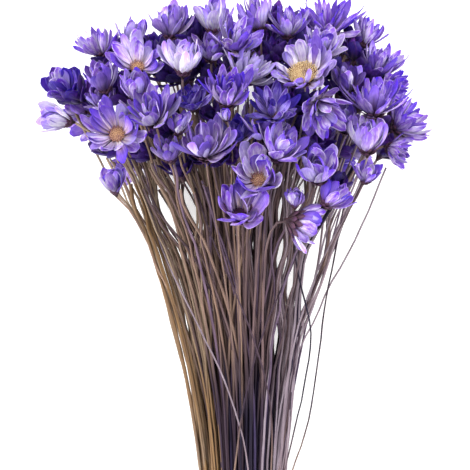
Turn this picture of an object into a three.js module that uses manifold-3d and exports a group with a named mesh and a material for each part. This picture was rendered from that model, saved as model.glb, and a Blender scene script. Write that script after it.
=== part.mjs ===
// A bunch of dried daisies with violet papery petals, tied at the waist and lying on a surface.
// Millimetres. +X is the bunch's right and +Y its crown, as a viewer above it sees them, +Z is up.
// While the bunch is laid out, y is 0 at the waist, where the stems stop running side by side.

import * as THREE from 'three';
import { mergeVertices } from 'three/addons/utils/BufferGeometryUtils.js';
import Module from 'manifold-3d';

const wasm = await Module();
wasm.setup();

// The dome that the hearts of the blooms lie on
const dome = { x: -5, y: 162, z: 56 };
const domeReach = { x: 93, y: 66, above: 50 };

// The bundle of stems: half widths at the waist, at the tie and at the cut ends, and where those are
const waist = { halfWidth: 24, halfDepth: 13.5, y: 0, z: 15.4 };
const tied = { halfWidth: 22, halfDepth: 13, y: -24, z: 15.3 };
const cut = { halfWidth: 23.5, halfDepth: 13, y: -104, z: 13.6 };
const bundle = { fill: 0.93, bindingHalfLength: 5.2, cutStagger: 7 };

// A stem: how far it rises from the waist before it fans out, how much wider the bundle grows on the
// way, the straight neck under its bloom, how far it strays from its own place in the bundle and its
// clearance from the hearts of other blooms
const stem = { radius: 0.9, sides: 3, steps: 5, rise: 84, flare: 1.4, neck: 18, wander: 0.1, clearance: 6.5 };
const stemSamples = { all: 12, kept: 2 };

// The wound twine and its knot
const twine = { thickness: 2.2, turns: 5, valley: 1.4, slack: 1 };
const tieFacets = 14;
const knot = { x: 4.2, y: 3.4, z: 2.6, rise: 1.2 };
const knotEnd = { reach: 12, bend: 0.6, bendAside: 2, aside: 3.4, drop: 3.6 };
const knotTail = { radius: 0.9, sides: 5, steps: 3 };

// A bloom of size 1. A petal's width grows less than its length does, by this power of the size.
const petal = { length: 14, width: 7.2, thickness: 1.2, cup: 1.1, widest: 0.64, share: 0.97 };
const widthPower = 0.7;
const variation = { opening: 6, length: 0.07 };
const hub = { radius: 2.3, height: 1.1, crown: 0.4, depth: 3.4 };
const innerHub = { radius: 1.3, lift: 1.35, roundDisc: 0.96 };
const outerRow = { opens: 12, openShare: 1, incurves: 26, reach: 1, breadth: 1, half: 0 };
const innerRow = { opens: -12, openShare: 0.8, incurves: 16, reach: 0.84, breadth: 0.85, half: 0.5 };
const disc = { sides: 12, rings: 2, share: 0.8, rise: 1.6, relief: 0.3 };
const leastOpen = 7;
const joinGap = 0.35;
const heartSides = 8;

// Where a petal would cross its neighbour, these changes of its opening are tried, in degrees,
// and then these shares of its length
const bends = [0, -10, -20, 12, -32, -44, 24];
const shortenings = [1, 0.8, 0.62];

const colours = {
  violet: 0x6a4fc8,
  bright: 0x7a55e0,
  deep: 0x43279c,
  dusky: 0x7b62a8,
  pale: 0xc4b6ea,
  tan: 0xb8906a,
  stem: 0x5c4a52,
  twine: 0xb09468,
};
const dryRoughness = 0.85;

// The blooms that a viewer above the bunch sees. at: right of the middle, up from the waist, and
// how far sunk below the dome. faces: degrees turned right from the crown, and degrees raised
// towards the viewer. open: degrees between its petals and its axis. disc: the radius of a disc in
// view. fusedInto: the bloom that it is one body with. tone: its colour, where it isn't violet.
const blooms = [
  { name: 'bloom_01', at: [-90, 192, 0], faces: [-20, 35], open: 34, size: 1, tone: 'deep' },
  { name: 'bloom_02', at: [-93, 176, 0], faces: [-85, 18], open: 26, size: 0.9, tone: 'pale' },
  { name: 'bloom_03', at: [-72, 212, 0], faces: [-15, 10], open: 55, size: 1 },
  { name: 'bloom_04', at: [-55, 216, 0], faces: [5, 20], open: 30, size: 0.95, tone: 'pale' },
  { name: 'bloom_05', at: [-52, 201, 0], faces: [0, 55], open: 65, size: 1.1, disc: 3.4 },
  { name: 'bloom_06', at: [-69, 194, 2], faces: [-15, 25], open: 35, size: 1, tone: 'dusky' },
  { name: 'bloom_07', at: [-63, 168, -3], faces: [-10, 70], open: 75, size: 1.25, disc: 3.8 },
  { name: 'bloom_08', at: [-64, 144, 10], faces: [-12, 25], open: 12, size: 0.75, tone: 'pale' },
  { name: 'bloom_09', at: [-44, 176, 0], faces: [-15, 40], open: 50, size: 1.15 },
  { name: 'bloom_10', at: [-31, 171, 8], faces: [10, 30], open: 30, size: 0.7 },
  { name: 'bloom_11', at: [-36, 222, 0], faces: [0, 25], open: 50, size: 1.2 },
  { name: 'bloom_12', at: [-13, 225, 0], faces: [0, 10], open: 35, size: 1, tone: 'pale' },
  { name: 'bloom_13', at: [-29, 202, 0], faces: [5, 20], open: 35, size: 1.1, tone: 'pale' },
  { name: 'bloom_14', at: [-3, 212, 0], faces: [20, 45], open: 50, size: 1.1 },
  { name: 'bloom_15', at: [7, 225, 0], faces: [-10, 15], open: 45, size: 1.1, tone: 'pale' },
  { name: 'bloom_16', at: [22, 221, 3], faces: [0, 20], open: 45, size: 1 },
  { name: 'bloom_17', at: [42, 222, 0], faces: [0, 15], open: 55, size: 1.3, tone: 'bright' },
  { name: 'bloom_18', at: [62, 218, 0], faces: [20, 10], open: 35, size: 0.95 },
  { name: 'bloom_19', at: [68, 202, 0], faces: [25, 30], open: 45, size: 1.15 },
  { name: 'bloom_20', at: [28, 197, -5], faces: [-20, 60], open: 66, size: 0.95, disc: 6.4 },
  { name: 'bloom_21', at: [37, 179, 0], faces: [150, 50], open: 60, size: 1.1 },
  { name: 'bloom_22', at: [-8, 186, -2], faces: [0, 45], open: 40, size: 1.2, tone: 'bright' },
  { name: 'bloom_23', at: [3, 197, 10], faces: [30, 30], open: 55, size: 1.1, tone: 'pale' },
  { name: 'bloom_24', at: [-18, 160, 0], faces: [0, 30], open: 60, size: 1.3, tone: 'dusky' },
  { name: 'bloom_25', at: [7, 146, 0], faces: [0, 70], open: 50, size: 1.2, disc: 3 },
  { name: 'bloom_26', at: [-2, 131, 0], faces: [0, 30], open: 45, size: 1.2, tone: 'dusky' },
  { name: 'bloom_27', at: [18, 159, 0], faces: [25, 25], open: 45, size: 1.1 },
  { name: 'bloom_28', at: [38, 150, 0], faces: [0, 30], open: 40, size: 1.1 },
  { name: 'bloom_29', at: [45, 138, 4], faces: [25, 10], open: 40, size: 0.9 },
  { name: 'bloom_30', at: [60, 164, 0], faces: [0, 20], open: 35, size: 1.2 },
  { name: 'bloom_31', at: [64, 182, 0], faces: [0, 15], open: 55, size: 1.3, tone: 'bright' },
  { name: 'bloom_32', at: [79, 172, 0], faces: [60, 15], open: 56, size: 1.15 },
  { name: 'bloom_33', at: [76, 158, 4], faces: [110, 20], open: 45, size: 0.95, fusedInto: 'bloom_32' },
  { name: 'bloom_34', at: [31, 122, 0], faces: [110, -10], open: 45, size: 0.95 },
  { name: 'bloom_35', at: [14, 177, 4], faces: [0, 60], open: 60, size: 1, tone: 'deep' },
  { name: 'bloom_36', at: [-2, 167, 12], faces: [0, 40], open: 40, size: 0.8, tone: 'deep' },
  { name: 'bloom_37', at: [11, 168, 8], faces: [40, 35], open: 45, size: 0.95 },
  { name: 'bloom_38', at: [-9, 175, -1], faces: [-20, 45], open: 8, size: 0.42, tone: 'pale' },
  { name: 'bloom_39', at: [26, 135, 2], faces: [0, 30], open: 30, size: 0.7, tone: 'pale' },
  { name: 'bloom_40', at: [60, 147, 2], faces: [20, 30], open: 40, size: 0.7 },
  { name: 'bloom_41', at: [74, 192, 4], faces: [80, 30], open: 40, size: 0.8, tone: 'bright' },
  { name: 'bloom_42', at: [51, 192, 10], faces: [0, 40], open: 40, size: 0.9, tone: 'dusky' },
  { name: 'bloom_43', at: [-52, 188, 2], faces: [0, 30], open: 40, size: 0.95, fusedInto: 'bloom_05' },
  { name: 'bloom_44', at: [-70, 184, 14], faces: [-20, 40], open: 40, size: 0.85, tone: 'dusky' },
  { name: 'bloom_45', at: [-25, 183, 14], faces: [0, 40], open: 40, size: 0.85, tone: 'deep' },
  { name: 'bloom_46', at: [-16, 208, 12], faces: [0, 35], open: 45, size: 0.9, tone: 'dusky' },
  { name: 'bloom_47', at: [38, 209, -3], faces: [10, 30], open: 45, size: 0.95, fusedInto: 'bloom_20' },
  { name: 'bloom_48', at: [-36, 158, 12], faces: [-10, 35], open: 40, size: 0.85, tone: 'dusky' },
  { name: 'bloom_49', at: [50, 172, 10], faces: [10, 40], open: 45, size: 0.9, tone: 'dusky' },
];

// The trios on the underside of the dome, by the middle of each: right, up and height.
// Those that rest hold the bunch up.
const trios = [
  { at: [-46, 160, 13], rests: true },
  { at: [0, 166, 13], rests: true },
  { at: [46, 160, 13], rests: true },
  { at: [-75, 180, 36] },
  { at: [72, 176, 36] },
  { at: [-42, 206, 34] },
  { at: [4, 212, 36] },
  { at: [46, 206, 34] },
];
const trioSpread = 8.5;
const trioTilt = 24;
const trioCrownward = 30;

// The petals of a bloom: those in view near the dome's face, those sunk in it, and the underside
const near = { outer: 8, inner: 4, depth: 6 };
const sunken = { outer: 6, inner: 3 };
const underside = { outer: 6, inner: 3, open: 52, size: 0.95 };

// What a fused solid is cleared of: bodies under this volume and edges under this length
const scrap = { volume: 2, edge: 0.02 };
const weld = 1e-4;
const firstSeed = 1009;
const seedStep = 17;
const stemSeed = 4711;

// A Lehmer generator, so that every build draws the same bunch
function makeDraw(seed) {
  const factor = 48271;
  const modulus = 2147483647;
  let state = seed;
  return () => {
    state = (state * factor) % modulus;
    return state / modulus;
  };
}

const radians = THREE.MathUtils.degToRad;
const fullTurn = Math.PI * 2;

function spread(draw, reach) {
  return (draw() * 2 - 1) * reach;
}

// The dome's height over a point of the surface
function domeHeight(x, y) {
  const left = 1 - ((x - dome.x) / domeReach.x) ** 2 - ((y - dome.y) / domeReach.y) ** 2;
  return dome.z + domeReach.above * Math.sqrt(Math.max(0, left));
}

// The way a bloom faces, from the two angles in its row
function facing([turned, raised]) {
  const level = Math.cos(radians(raised));
  return new THREE.Vector3(
    Math.sin(radians(turned)) * level,
    Math.cos(radians(turned)) * level,
    Math.sin(radians(raised)),
  );
}

function viewedBloom(row) {
  const [x, y, sunk] = row.at;
  const axis = facing(row.faces);
  const middle = new THREE.Vector3(x, y, domeHeight(x, y) - sunk);
  const reach = petal.length * row.size * Math.cos(radians(row.open));
  const petals = sunk < near.depth ? near : sunken;
  return {
    ...row,
    axis,
    heart: middle.addScaledVector(axis, -reach / 2),
    node: row.fusedInto || row.name,
    outer: petals.outer,
    inner: petals.inner,
  };
}

// Three blooms round a middle, each turned a little away from the others
function trioBlooms(trio, index) {
  const middle = new THREE.Vector3(...trio.at);
  const outward = new THREE.Vector3(
    (trio.at[0] - dome.x) / domeReach.x,
    (trio.at[1] - dome.y + trioCrownward) / domeReach.y,
    (trio.at[2] - dome.z) / domeReach.above,
  ).normalize();
  const turned = new THREE.Quaternion().setFromUnitVectors(new THREE.Vector3(0, 0, 1), outward);
  return [0, 1, 2].map((k) => {
    const turn = (k / 3) * fullTurn + index;
    const aside = new THREE.Vector3(Math.cos(turn), Math.sin(turn), 0).applyQuaternion(turned);
    return {
      ...underside,
      name: `bloom_trio_${index + 1}`,
      node: `bloom_trio_${index + 1}`,
      axis: outward.clone().addScaledVector(aside, Math.tan(radians(trioTilt))).normalize(),
      heart: middle.clone().addScaledVector(aside, trioSpread),
      rests: trio.rests,
    };
  });
}

// Closed solids from geometries or points, and back
function solidOf(geometry) {
  const bare = geometry.clone();
  bare.deleteAttribute('normal');
  bare.deleteAttribute('uv');
  const merged = mergeVertices(bare, weld);
  return new wasm.Manifold(
    new wasm.Mesh({
      numProp: 3,
      vertProperties: merged.attributes.position.array,
      triVerts: new Uint32Array(merged.index.array),
    }),
  );
}

function solidFrom(points, faces, frame) {
  const placed = points.map((point) => point.clone().applyMatrix4(frame).toArray());
  return new wasm.Manifold(
    new wasm.Mesh({
      numProp: 3,
      vertProperties: new Float32Array(placed.flat()),
      triVerts: new Uint32Array(faces.flat()),
    }),
  );
}

function geometryOf(solid) {
  const { vertProperties, triVerts } = solid.getMesh();
  const geometry = new THREE.BufferGeometry();
  geometry.setAttribute('position', new THREE.BufferAttribute(vertProperties, 3));
  geometry.setIndex(new THREE.BufferAttribute(triVerts, 1));
  geometry.computeVertexNormals();
  return geometry;
}

// A fused solid without its loose scraps and sealed hollows
function withoutScraps(solid) {
  const bodies = solid.simplify(scrap.edge).decompose();
  return wasm.Manifold.union(bodies.filter((body) => body.volume() > scrap.volume));
}

// A bloom's own frame: its heart at the origin, its axis up
function frameOf(bloom) {
  const turned = new THREE.Quaternion().setFromUnitVectors(new THREE.Vector3(0, 0, 1), bloom.axis);
  return new THREE.Matrix4().compose(bloom.heart, turned, new THREE.Vector3(1, 1, 1));
}

function hubRadius(bloom) {
  return Math.max(hub.radius * Math.sqrt(bloom.size), bloom.disc || 0);
}

// The ring of points that a row of petals grows from. Its first point lies before the first petal.
function hubRing(count, half, radius, height) {
  return Array.from({ length: count }, (_, k) => {
    const turn = ((k - 0.5 + half) / count) * fullTurn;
    return new THREE.Vector3(Math.cos(turn) * radius, Math.sin(turn) * radius, height);
  });
}

// The free points of a petal, a boat that curves in towards the bloom's axis:
// its two sides, the upper and lower side of its keel, and its tip
function petalPoints(shape, grow) {
  const outward = new THREE.Vector3(Math.cos(shape.turn), Math.sin(shape.turn), 0);
  const around = new THREE.Vector3(-Math.sin(shape.turn), Math.cos(shape.turn), 0);
  const tilted = (out, up) => new THREE.Vector3(0, 0, up).addScaledVector(outward, out);
  const along = (angle) => tilted(Math.sin(angle), Math.cos(angle));
  const middleAngle = (shape.rootAngle + shape.tipAngle) / 2;
  const face = tilted(-Math.cos(middleAngle), Math.sin(middleAngle));
  const middle = outward.clone().multiplyScalar(shape.radius).setZ(shape.height)
    .addScaledVector(along(shape.rootAngle), shape.length * petal.widest);
  const away = Math.hypot(middle.x, middle.y) - shape.cup * Math.cos(middleAngle);
  const wedge = away * Math.tan(Math.PI / shape.count) * petal.share;
  const half = Math.min(shape.width / 2, wedge) + grow;
  const thick = petal.thickness / 2 + grow;
  return [
    middle.clone().addScaledVector(around, -half).addScaledVector(face, shape.cup),
    middle.clone().addScaledVector(face, thick),
    middle.clone().addScaledVector(around, half).addScaledVector(face, shape.cup),
    middle.clone().addScaledVector(face, -thick),
    middle.clone().addScaledVector(along(shape.tipAngle), shape.length * (1 - petal.widest) + grow),
  ];
}

// A petal's skin from the four corners of its root to its free points
function petalFaces([topLeft, topRight, lowRight, lowLeft], [left, upper, right, lower, tip]) {
  return [
    [topLeft, left, upper], [topLeft, upper, topRight], [topRight, upper, right],
    [lowLeft, lower, left], [lowLeft, lowRight, lower], [lowRight, right, lower],
    [topLeft, lowLeft, left], [topRight, right, lowRight],
    [upper, left, tip], [upper, tip, right], [lower, tip, left], [lower, right, tip],
  ];
}

const placed = (node) => (solid) => ({ node, solid, box: solid.boundingBox() });

function boxesMeet(a, b) {
  return [0, 1, 2].every((i) => a.min[i] <= b.max[i] && b.min[i] <= a.max[i]);
}

function crosses(solid, obstacles, node) {
  const box = solid.boundingBox();
  return obstacles.some(
    (other) => other.node !== node && boxesMeet(box, other.box) && !solid.intersect(other.solid).isEmpty(),
  );
}

// One petal alone, swollen by grow, to test what it would cross
function petalSolid(shape, frame, grow) {
  const rise = hub.height / 2 + grow;
  const step = Math.PI / shape.count;
  const root = [[-step, rise], [step, rise], [step, -rise], [-step, -rise]].map(([aside, height]) => {
    const turn = shape.turn + aside;
    return new THREE.Vector3(
      Math.cos(turn) * shape.radius,
      Math.sin(turn) * shape.radius,
      shape.height + height,
    );
  });
  const faces = petalFaces([0, 1, 2, 3], [4, 5, 6, 7, 8]);
  return solidFrom([...root, ...petalPoints(shape, grow)], [...faces, [0, 1, 2], [0, 2, 3]], frame);
}

// The petals of a row as drawn. One that would cross another node or the surface is bent clear,
// then shortened, then left out.
function rowShapes({ bloom, frame, draw, row, count, radius, height }, obstacles, own) {
  return Array.from({ length: count }, (_, k) => {
    const opening = bloom.open * row.openShare + row.opens + spread(draw, variation.opening);
    const opened = Math.max(opening, leastOpen);
    const length = petal.length * bloom.size * row.reach * (1 + spread(draw, variation.length));
    const turn = ((k + row.half) / count) * fullTurn;
    const tries = shortenings.flatMap((shortened) => bends.map((bend) => {
      const rootOpen = Math.max(opened + bend, leastOpen);
      return {
        turn,
        count,
        radius,
        height,
        length: length * shortened,
        width: petal.width * bloom.size ** widthPower * row.breadth,
        cup: petal.cup * bloom.size ** widthPower,
        rootAngle: radians(rootOpen),
        tipAngle: radians(rootOpen - row.incurves),
      };
    }));
    return tries.find((shape) => {
      const test = petalSolid(shape, frame, joinGap);
      return (bloom.rests || test.boundingBox().min[2] > 0)
        && !crosses(test, obstacles, bloom.node)
        && !crosses(petalSolid(shape, frame, 0), own);
    });
  });
}

// The skin between two rings that go round with different counts of points, facing up
function stripFaces(low, lowTurns, high, highTurns) {
  const faces = [];
  let i = 0;
  let j = 0;
  while (i < low.length || j < high.length) {
    const a = low[i % low.length];
    const b = high[j % high.length];
    if (j === high.length || (i < low.length && lowTurns(i + 1) < highTurns(j + 1))) {
      i += 1;
      faces.push([a, low[i % low.length], b]);
    } else {
      j += 1;
      faces.push([a, high[j % high.length], b]);
    }
  }
  return faces;
}

// A bloom in one skin: a cone of bracts, the outer row of petals, the inner row above it, a crown
function bloomSolid(bloom, draw, obstacles) {
  const frame = frameOf(bloom);
  const outerRadius = hubRadius(bloom);
  const innerRadius = bloom.disc ? outerRadius * innerHub.roundDisc : innerHub.radius;
  const own = bloom.discSolid ? [placed('disc')(bloom.discSolid)] : [];
  const grown = { bloom, frame, draw };
  const inside = { ...grown, row: innerRow, count: bloom.inner, radius: innerRadius, height: innerHub.lift };
  const outside = { ...grown, row: outerRow, count: bloom.outer, radius: outerRadius, height: 0 };
  const inner = rowShapes(inside, obstacles, own);
  own.push(...inner.filter(Boolean).map((shape) => placed('petal')(petalSolid(shape, frame, 0))));
  const outer = rowShapes(outside, obstacles, own);
  const points = [];
  const faces = [];
  const add = (more) => more.map((point) => points.push(point) - 1);
  const grow = (shapes, { row, count, radius, height }) => {
    const top = add(hubRing(count, row.half, radius, height + hub.height / 2));
    const low = add(hubRing(count, row.half, radius, height - hub.height / 2));
    shapes.forEach((shape, k) => {
      const next = (k + 1) % count;
      const root = [top[k], top[next], low[next], low[k]];
      if (shape) faces.push(...petalFaces(root, add(petalPoints(shape, 0))));
      else faces.push([root[0], root[3], root[2]], [root[0], root[2], root[1]]);
    });
    return { top, low, turns: (k) => (k - 0.5 + row.half) / count };
  };
  const wide = grow(outer, outside);
  const slim = grow(inner, inside);
  const crownHeight = innerHub.lift + hub.height / 2 + (bloom.disc ? 0 : hub.crown);
  const [crown, foot] = add([
    new THREE.Vector3(0, 0, crownHeight),
    new THREE.Vector3(0, 0, -hub.depth * bloom.size),
  ]);
  wide.low.forEach((point, k) => faces.push([foot, wide.low[(k + 1) % wide.low.length], point]));
  slim.top.forEach((point, k) => faces.push([crown, point, slim.top[(k + 1) % slim.top.length]]));
  faces.push(...stripFaces(wide.top, wide.turns, slim.low, slim.turns));
  return solidFrom(points, faces, frame);
}

// A disc of florets: a low dome whose points rise and fall from one to the next, but not at its middle
function discSolid(bloom) {
  const foot = innerHub.lift + hub.height / 2 + joinGap;
  const radius = bloom.disc * disc.share;
  const profile = [new THREE.Vector2(0, foot), new THREE.Vector2(radius, foot)];
  for (let ring = 1; ring < disc.rings; ring += 1) {
    const angle = (ring / disc.rings) * (Math.PI / 2);
    profile.push(new THREE.Vector2(radius * Math.cos(angle), foot + disc.rise * Math.sin(angle)));
  }
  profile.push(new THREE.Vector2(0, foot + disc.rise));
  const geometry = new THREE.LatheGeometry(profile, disc.sides);
  const { position } = geometry.attributes;
  for (let i = 0; i < position.count; i += 1) {
    const turn = Math.atan2(position.getX(i), position.getZ(i));
    const away = Math.hypot(position.getX(i), position.getZ(i));
    const wave = Math.cos((turn * disc.sides) / 2) * disc.relief * Math.min(1, away);
    if (position.getY(i) > foot + disc.relief) position.setY(i, position.getY(i) + wave);
  }
  geometry.rotateX(Math.PI / 2);
  return solidOf(geometry.applyMatrix4(frameOf(bloom)));
}

// The run of a stem from its cut end through the tie and the waist to the neck of its bloom.
// It keeps clear of the hearts of the other blooms.
function stemRun(end, axis, draw, hearts) {
  const aside = (end.x - dome.x) / domeReach.x + spread(draw, stem.wander);
  const above = (end.z - dome.z) / domeReach.above + spread(draw, stem.wander);
  const inside = bundle.fill * Math.min(1, 1 / Math.hypot(aside, above));
  const at = (level) => new THREE.Vector3(
    aside * inside * level.halfWidth,
    level.y,
    level.z + above * inside * level.halfDepth,
  );
  const foot = at(cut);
  foot.y += spread(draw, bundle.cutStagger);
  const low = at(waist);
  const neck = end.clone().addScaledVector(axis, -stem.neck);
  const flared = new THREE.Vector3(low.x * stem.flare, stem.rise, low.z);
  const rise = new THREE.CubicBezierCurve3(low, flared, neck, end);
  const run = rise.getPoints(stemSamples.all).map((point, i) => {
    if (i === 0 || i > stemSamples.all - stemSamples.kept) return point;
    for (const other of hearts) {
      const gap = point.distanceTo(other);
      if (gap < stem.clearance) point.sub(other).multiplyScalar(stem.clearance / gap).add(other);
    }
    return point;
  });
  return [foot, at(tied), ...run];
}

function tubeSolid(points, radius, sides, steps) {
  const section = new THREE.Shape(
    Array.from({ length: sides }, (_, k) => {
      const turn = (k / sides) * fullTurn;
      return new THREE.Vector2(Math.cos(turn), Math.sin(turn)).multiplyScalar(radius);
    }),
  );
  const path = new THREE.CatmullRomCurve3(points, false, 'centripetal');
  return solidOf(new THREE.ExtrudeGeometry(section, { steps, extrudePath: path, bevelEnabled: false }));
}

// From the middle of the bundle to the outside of its outermost stem
function bundleHalf(half) {
  return half * bundle.fill + stem.radius;
}

// The core inside the tie that the stems are pressed into
function bindingSolid() {
  const length = bundle.bindingHalfLength;
  const profile = [[0, -length], [1, -length], [1, length], [0, length]];
  const geometry = new THREE.LatheGeometry(
    profile.map(([x, y]) => new THREE.Vector2(x, y)),
    tieFacets,
    Math.PI / tieFacets,
  );
  geometry.scale(bundleHalf(tied.halfWidth), 1, bundleHalf(tied.halfDepth));
  geometry.translate(0, tied.y, tied.z);
  return solidOf(geometry);
}

// Turns of twine side by side round the stems, flat where the bunch lies on them, with a knot on
// top. They are turned round an axis first, away from it, and then pressed to the bundle's shape.
function tieSolid() {
  const overFlats = 1 / Math.cos(Math.PI / tieFacets);
  const inner = {
    x: bundleHalf(tied.halfWidth) * overFlats + twine.slack,
    z: bundleHalf(tied.halfDepth) * overFlats + twine.slack,
  };
  const halfLength = (twine.turns * twine.thickness) / 2;
  const profile = [new THREE.Vector2(0, -halfLength)];
  for (let turn = 0; turn < twine.turns; turn += 1) {
    const start = turn * twine.thickness - halfLength;
    profile.push(new THREE.Vector2(twine.valley, start));
    profile.push(new THREE.Vector2(twine.thickness, start + twine.thickness / 2));
  }
  profile.push(new THREE.Vector2(twine.valley, halfLength), new THREE.Vector2(0, halfLength));
  profile.push(profile[0].clone());
  const away = 10;
  profile.forEach((point) => point.setX(point.x + away));
  const geometry = new THREE.LatheGeometry(profile, tieFacets, Math.PI / tieFacets);
  const { position } = geometry.attributes;
  for (let i = 0; i < position.count; i += 1) {
    const turn = Math.atan2(position.getX(i), position.getZ(i));
    const out = Math.hypot(position.getX(i), position.getZ(i)) - away;
    position.setX(i, Math.sin(turn) * (inner.x + out));
    position.setZ(i, Math.cos(turn) * (inner.z + out));
  }
  geometry.translate(0, tied.y, tied.z);
  const top = tied.z + inner.z + twine.thickness;
  const bow = new THREE.IcosahedronGeometry(1, 0).scale(knot.x, knot.y, knot.z);
  bow.translate(0, tied.y, top + knot.rise);
  const level = top + knot.rise;
  const { reach, bend } = knotEnd;
  const ends = [-1, 1].map((side) => tubeSolid(
    [
      new THREE.Vector3(0, tied.y, level),
      new THREE.Vector3(side * reach * bend, tied.y + side * knotEnd.bendAside, level),
      new THREE.Vector3(side * reach, tied.y + side * knotEnd.aside, level - knotEnd.drop),
    ],
    knotTail.radius,
    knotTail.sides,
    knotTail.steps,
  ));
  const wide = inner.x * 4;
  const under = new THREE.BoxGeometry(wide, wide, wide).translate(0, tied.y, -wide / 2);
  return wasm.Manifold.union([solidOf(geometry), solidOf(bow), ...ends]).subtract(solidOf(under));
}

// The cone under a bloom's petals, swollen, which the petals of other blooms keep clear of
function heartSolid(bloom) {
  const radius = hubRadius(bloom) + joinGap;
  const height = hub.depth * bloom.size + innerHub.lift;
  const geometry = new THREE.ConeGeometry(radius, height, heartSides);
  geometry.rotateX(-Math.PI / 2);
  geometry.translate(0, 0, innerHub.lift - height / 2);
  return solidOf(geometry.applyMatrix4(frameOf(bloom)));
}

// Lays a resting trio down, so that its lowest petal touches the surface
function layDown(trio) {
  const lows = trio.map((bloom) => bloomSolid(bloom, makeDraw(bloom.seed), []).boundingBox().min[2]);
  trio.forEach((bloom) => bloom.heart.setZ(bloom.heart.z - Math.min(...lows)));
}

// The blooms by the node that each belongs to
const all = [...blooms.map(viewedBloom), ...trios.flatMap(trioBlooms)];
const heads = new Map();
all.forEach((bloom, index) => {
  bloom.seed = firstSeed + index * seedStep;
  heads.set(bloom.node, [...(heads.get(bloom.node) || []), bloom]);
});
heads.forEach((members) => {
  if (members[0].rests) layDown(members);
});

const drawStem = makeDraw(stemSeed);
const stemTubes = all.map((bloom) => {
  const end = bloom.heart.clone().addScaledVector(bloom.axis, -hub.depth * bloom.size - joinGap);
  const others = all.filter((other) => other !== bloom).map((other) => other.heart);
  return tubeSolid(stemRun(end, bloom.axis, drawStem, others), stem.radius, stem.sides, stem.steps);
});

// The bloom nearest the viewer is made first, after those that rest, and keeps its petals as drawn.
// Those behind are bent clear of it, of the stems and of every heart.
const obstacles = [
  ...stemTubes.map(placed('stems')),
  ...all.map((bloom) => placed(bloom.node)(heartSolid(bloom))),
];
all.filter((bloom) => bloom.disc).forEach((bloom) => {
  bloom.discSolid = discSolid(bloom);
  obstacles.push(placed(bloom.node)(bloom.discSolid));
});
const nearness = (bloom) => (bloom.rests ? Infinity : bloom.heart.z);
[...all].sort((a, b) => (nearness(a) < nearness(b) ? 1 : -1)).forEach((bloom) => {
  bloom.solid = bloomSolid(bloom, makeDraw(bloom.seed), obstacles);
  obstacles.push(placed(bloom.node)(bloom.solid));
});

// Each node is a mesh in its own frame, held by the group of its kind
const bunch = new THREE.Group();

function addNode(group, name, solid, frame, colour) {
  const material = new THREE.MeshStandardMaterial({ color: colour, roughness: dryRoughness, metalness: 0 });
  const mesh = new THREE.Mesh(geometryOf(solid).applyMatrix4(frame.clone().invert()), material);
  mesh.name = name;
  mesh.applyMatrix4(frame);
  group.add(mesh);
}

const held = new THREE.Group();
const onAxis = new THREE.Matrix4();
const stemsSolid = withoutScraps(wasm.Manifold.union([bindingSolid(), ...stemTubes]));
addNode(held, 'stems', stemsSolid, onAxis, colours.stem);
addNode(held, 'tie', tieSolid(), onAxis, colours.twine);

const crown = new THREE.Group();
heads.forEach((members, name) => {
  const solid = withoutScraps(wasm.Manifold.union(members.map((bloom) => bloom.solid)));
  const tone = members[0].tone || 'violet';
  addNode(crown, name, solid, frameOf(members[0]), colours[tone]);
});
const discs = new THREE.Group();
all.filter((bloom) => bloom.disc).forEach((bloom) => {
  addNode(discs, `${bloom.name}_disc`, bloom.discSolid, frameOf(bloom), colours.tan);
});
bunch.add(held, crown, discs);

// The origin is at the middle of the bunch's underside
const extent = new THREE.Box3().setFromObject(bunch, true);
const centre = extent.getCenter(new THREE.Vector3());
bunch.position.set(-centre.x, -centre.y, 0);

export default bunch;
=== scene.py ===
import math
from functools import cache
from itertools import product

import bpy
import numpy as np
from mathutils import Matrix, Vector
from mathutils.bvhtree import BVHTree


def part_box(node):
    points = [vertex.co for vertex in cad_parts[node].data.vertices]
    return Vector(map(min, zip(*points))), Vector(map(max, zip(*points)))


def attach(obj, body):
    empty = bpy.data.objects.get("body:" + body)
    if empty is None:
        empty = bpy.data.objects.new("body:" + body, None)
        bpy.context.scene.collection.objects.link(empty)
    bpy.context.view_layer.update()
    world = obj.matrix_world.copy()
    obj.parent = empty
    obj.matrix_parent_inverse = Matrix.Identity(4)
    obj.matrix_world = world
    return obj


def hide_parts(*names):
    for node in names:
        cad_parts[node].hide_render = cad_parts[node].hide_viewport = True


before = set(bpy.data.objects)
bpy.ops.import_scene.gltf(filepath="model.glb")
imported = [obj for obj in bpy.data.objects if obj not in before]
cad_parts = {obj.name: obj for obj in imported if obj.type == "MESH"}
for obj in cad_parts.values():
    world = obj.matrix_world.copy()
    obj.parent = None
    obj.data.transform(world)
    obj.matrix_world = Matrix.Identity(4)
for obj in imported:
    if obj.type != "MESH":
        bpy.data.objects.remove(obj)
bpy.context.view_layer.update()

mm = 0.001

# A bunch of dried daisies lying down, seen from above: +X its right, +Y its crown, +Z the viewer.
# Places are in millimetres from the waist, as in the solids, until a mesh is made of them.
dome = {"x": -5, "y": 162, "z": 56, "reachX": 93, "reachY": 66, "above": 50}
waist = {"halfWidth": 24, "halfDepth": 13.5, "y": 0, "z": 15.4}
tied = {"halfWidth": 22, "halfDepth": 13, "y": -24, "z": 15.3, "fill": 0.96}
cut = {"halfWidth": 23.5, "halfDepth": 13, "y": -104, "z": 13.6}
bundleFill = 0.93

tieLow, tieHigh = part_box("tie")
shift = Vector(((tieLow[0] + tieHigh[0]) / 2 / mm, (tieLow[1] + tieHigh[1]) / 2 / mm - tied["y"], 0))


# Chance values, drawn by the same rule as in the solids, so that every run makes the same bunch
def makeDraw(seed):
    state = [seed]

    def draw():
        state[0] = state[0] * 48271 % 2147483647
        return state[0] / 2147483647

    return draw


def spread(draw, reach):
    return (draw() * 2 - 1) * reach


def between(draw, low, high):
    return low + draw() * (high - low)


# Camera: straight above the bunch, through a long lens, so that it frames 235 mm at mid depth
cameraPlace = {"x": -4.25, "y": 117.5, "depth": 56, "away": 1200, "frameWidth": 235, "sensor": 36}


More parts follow.
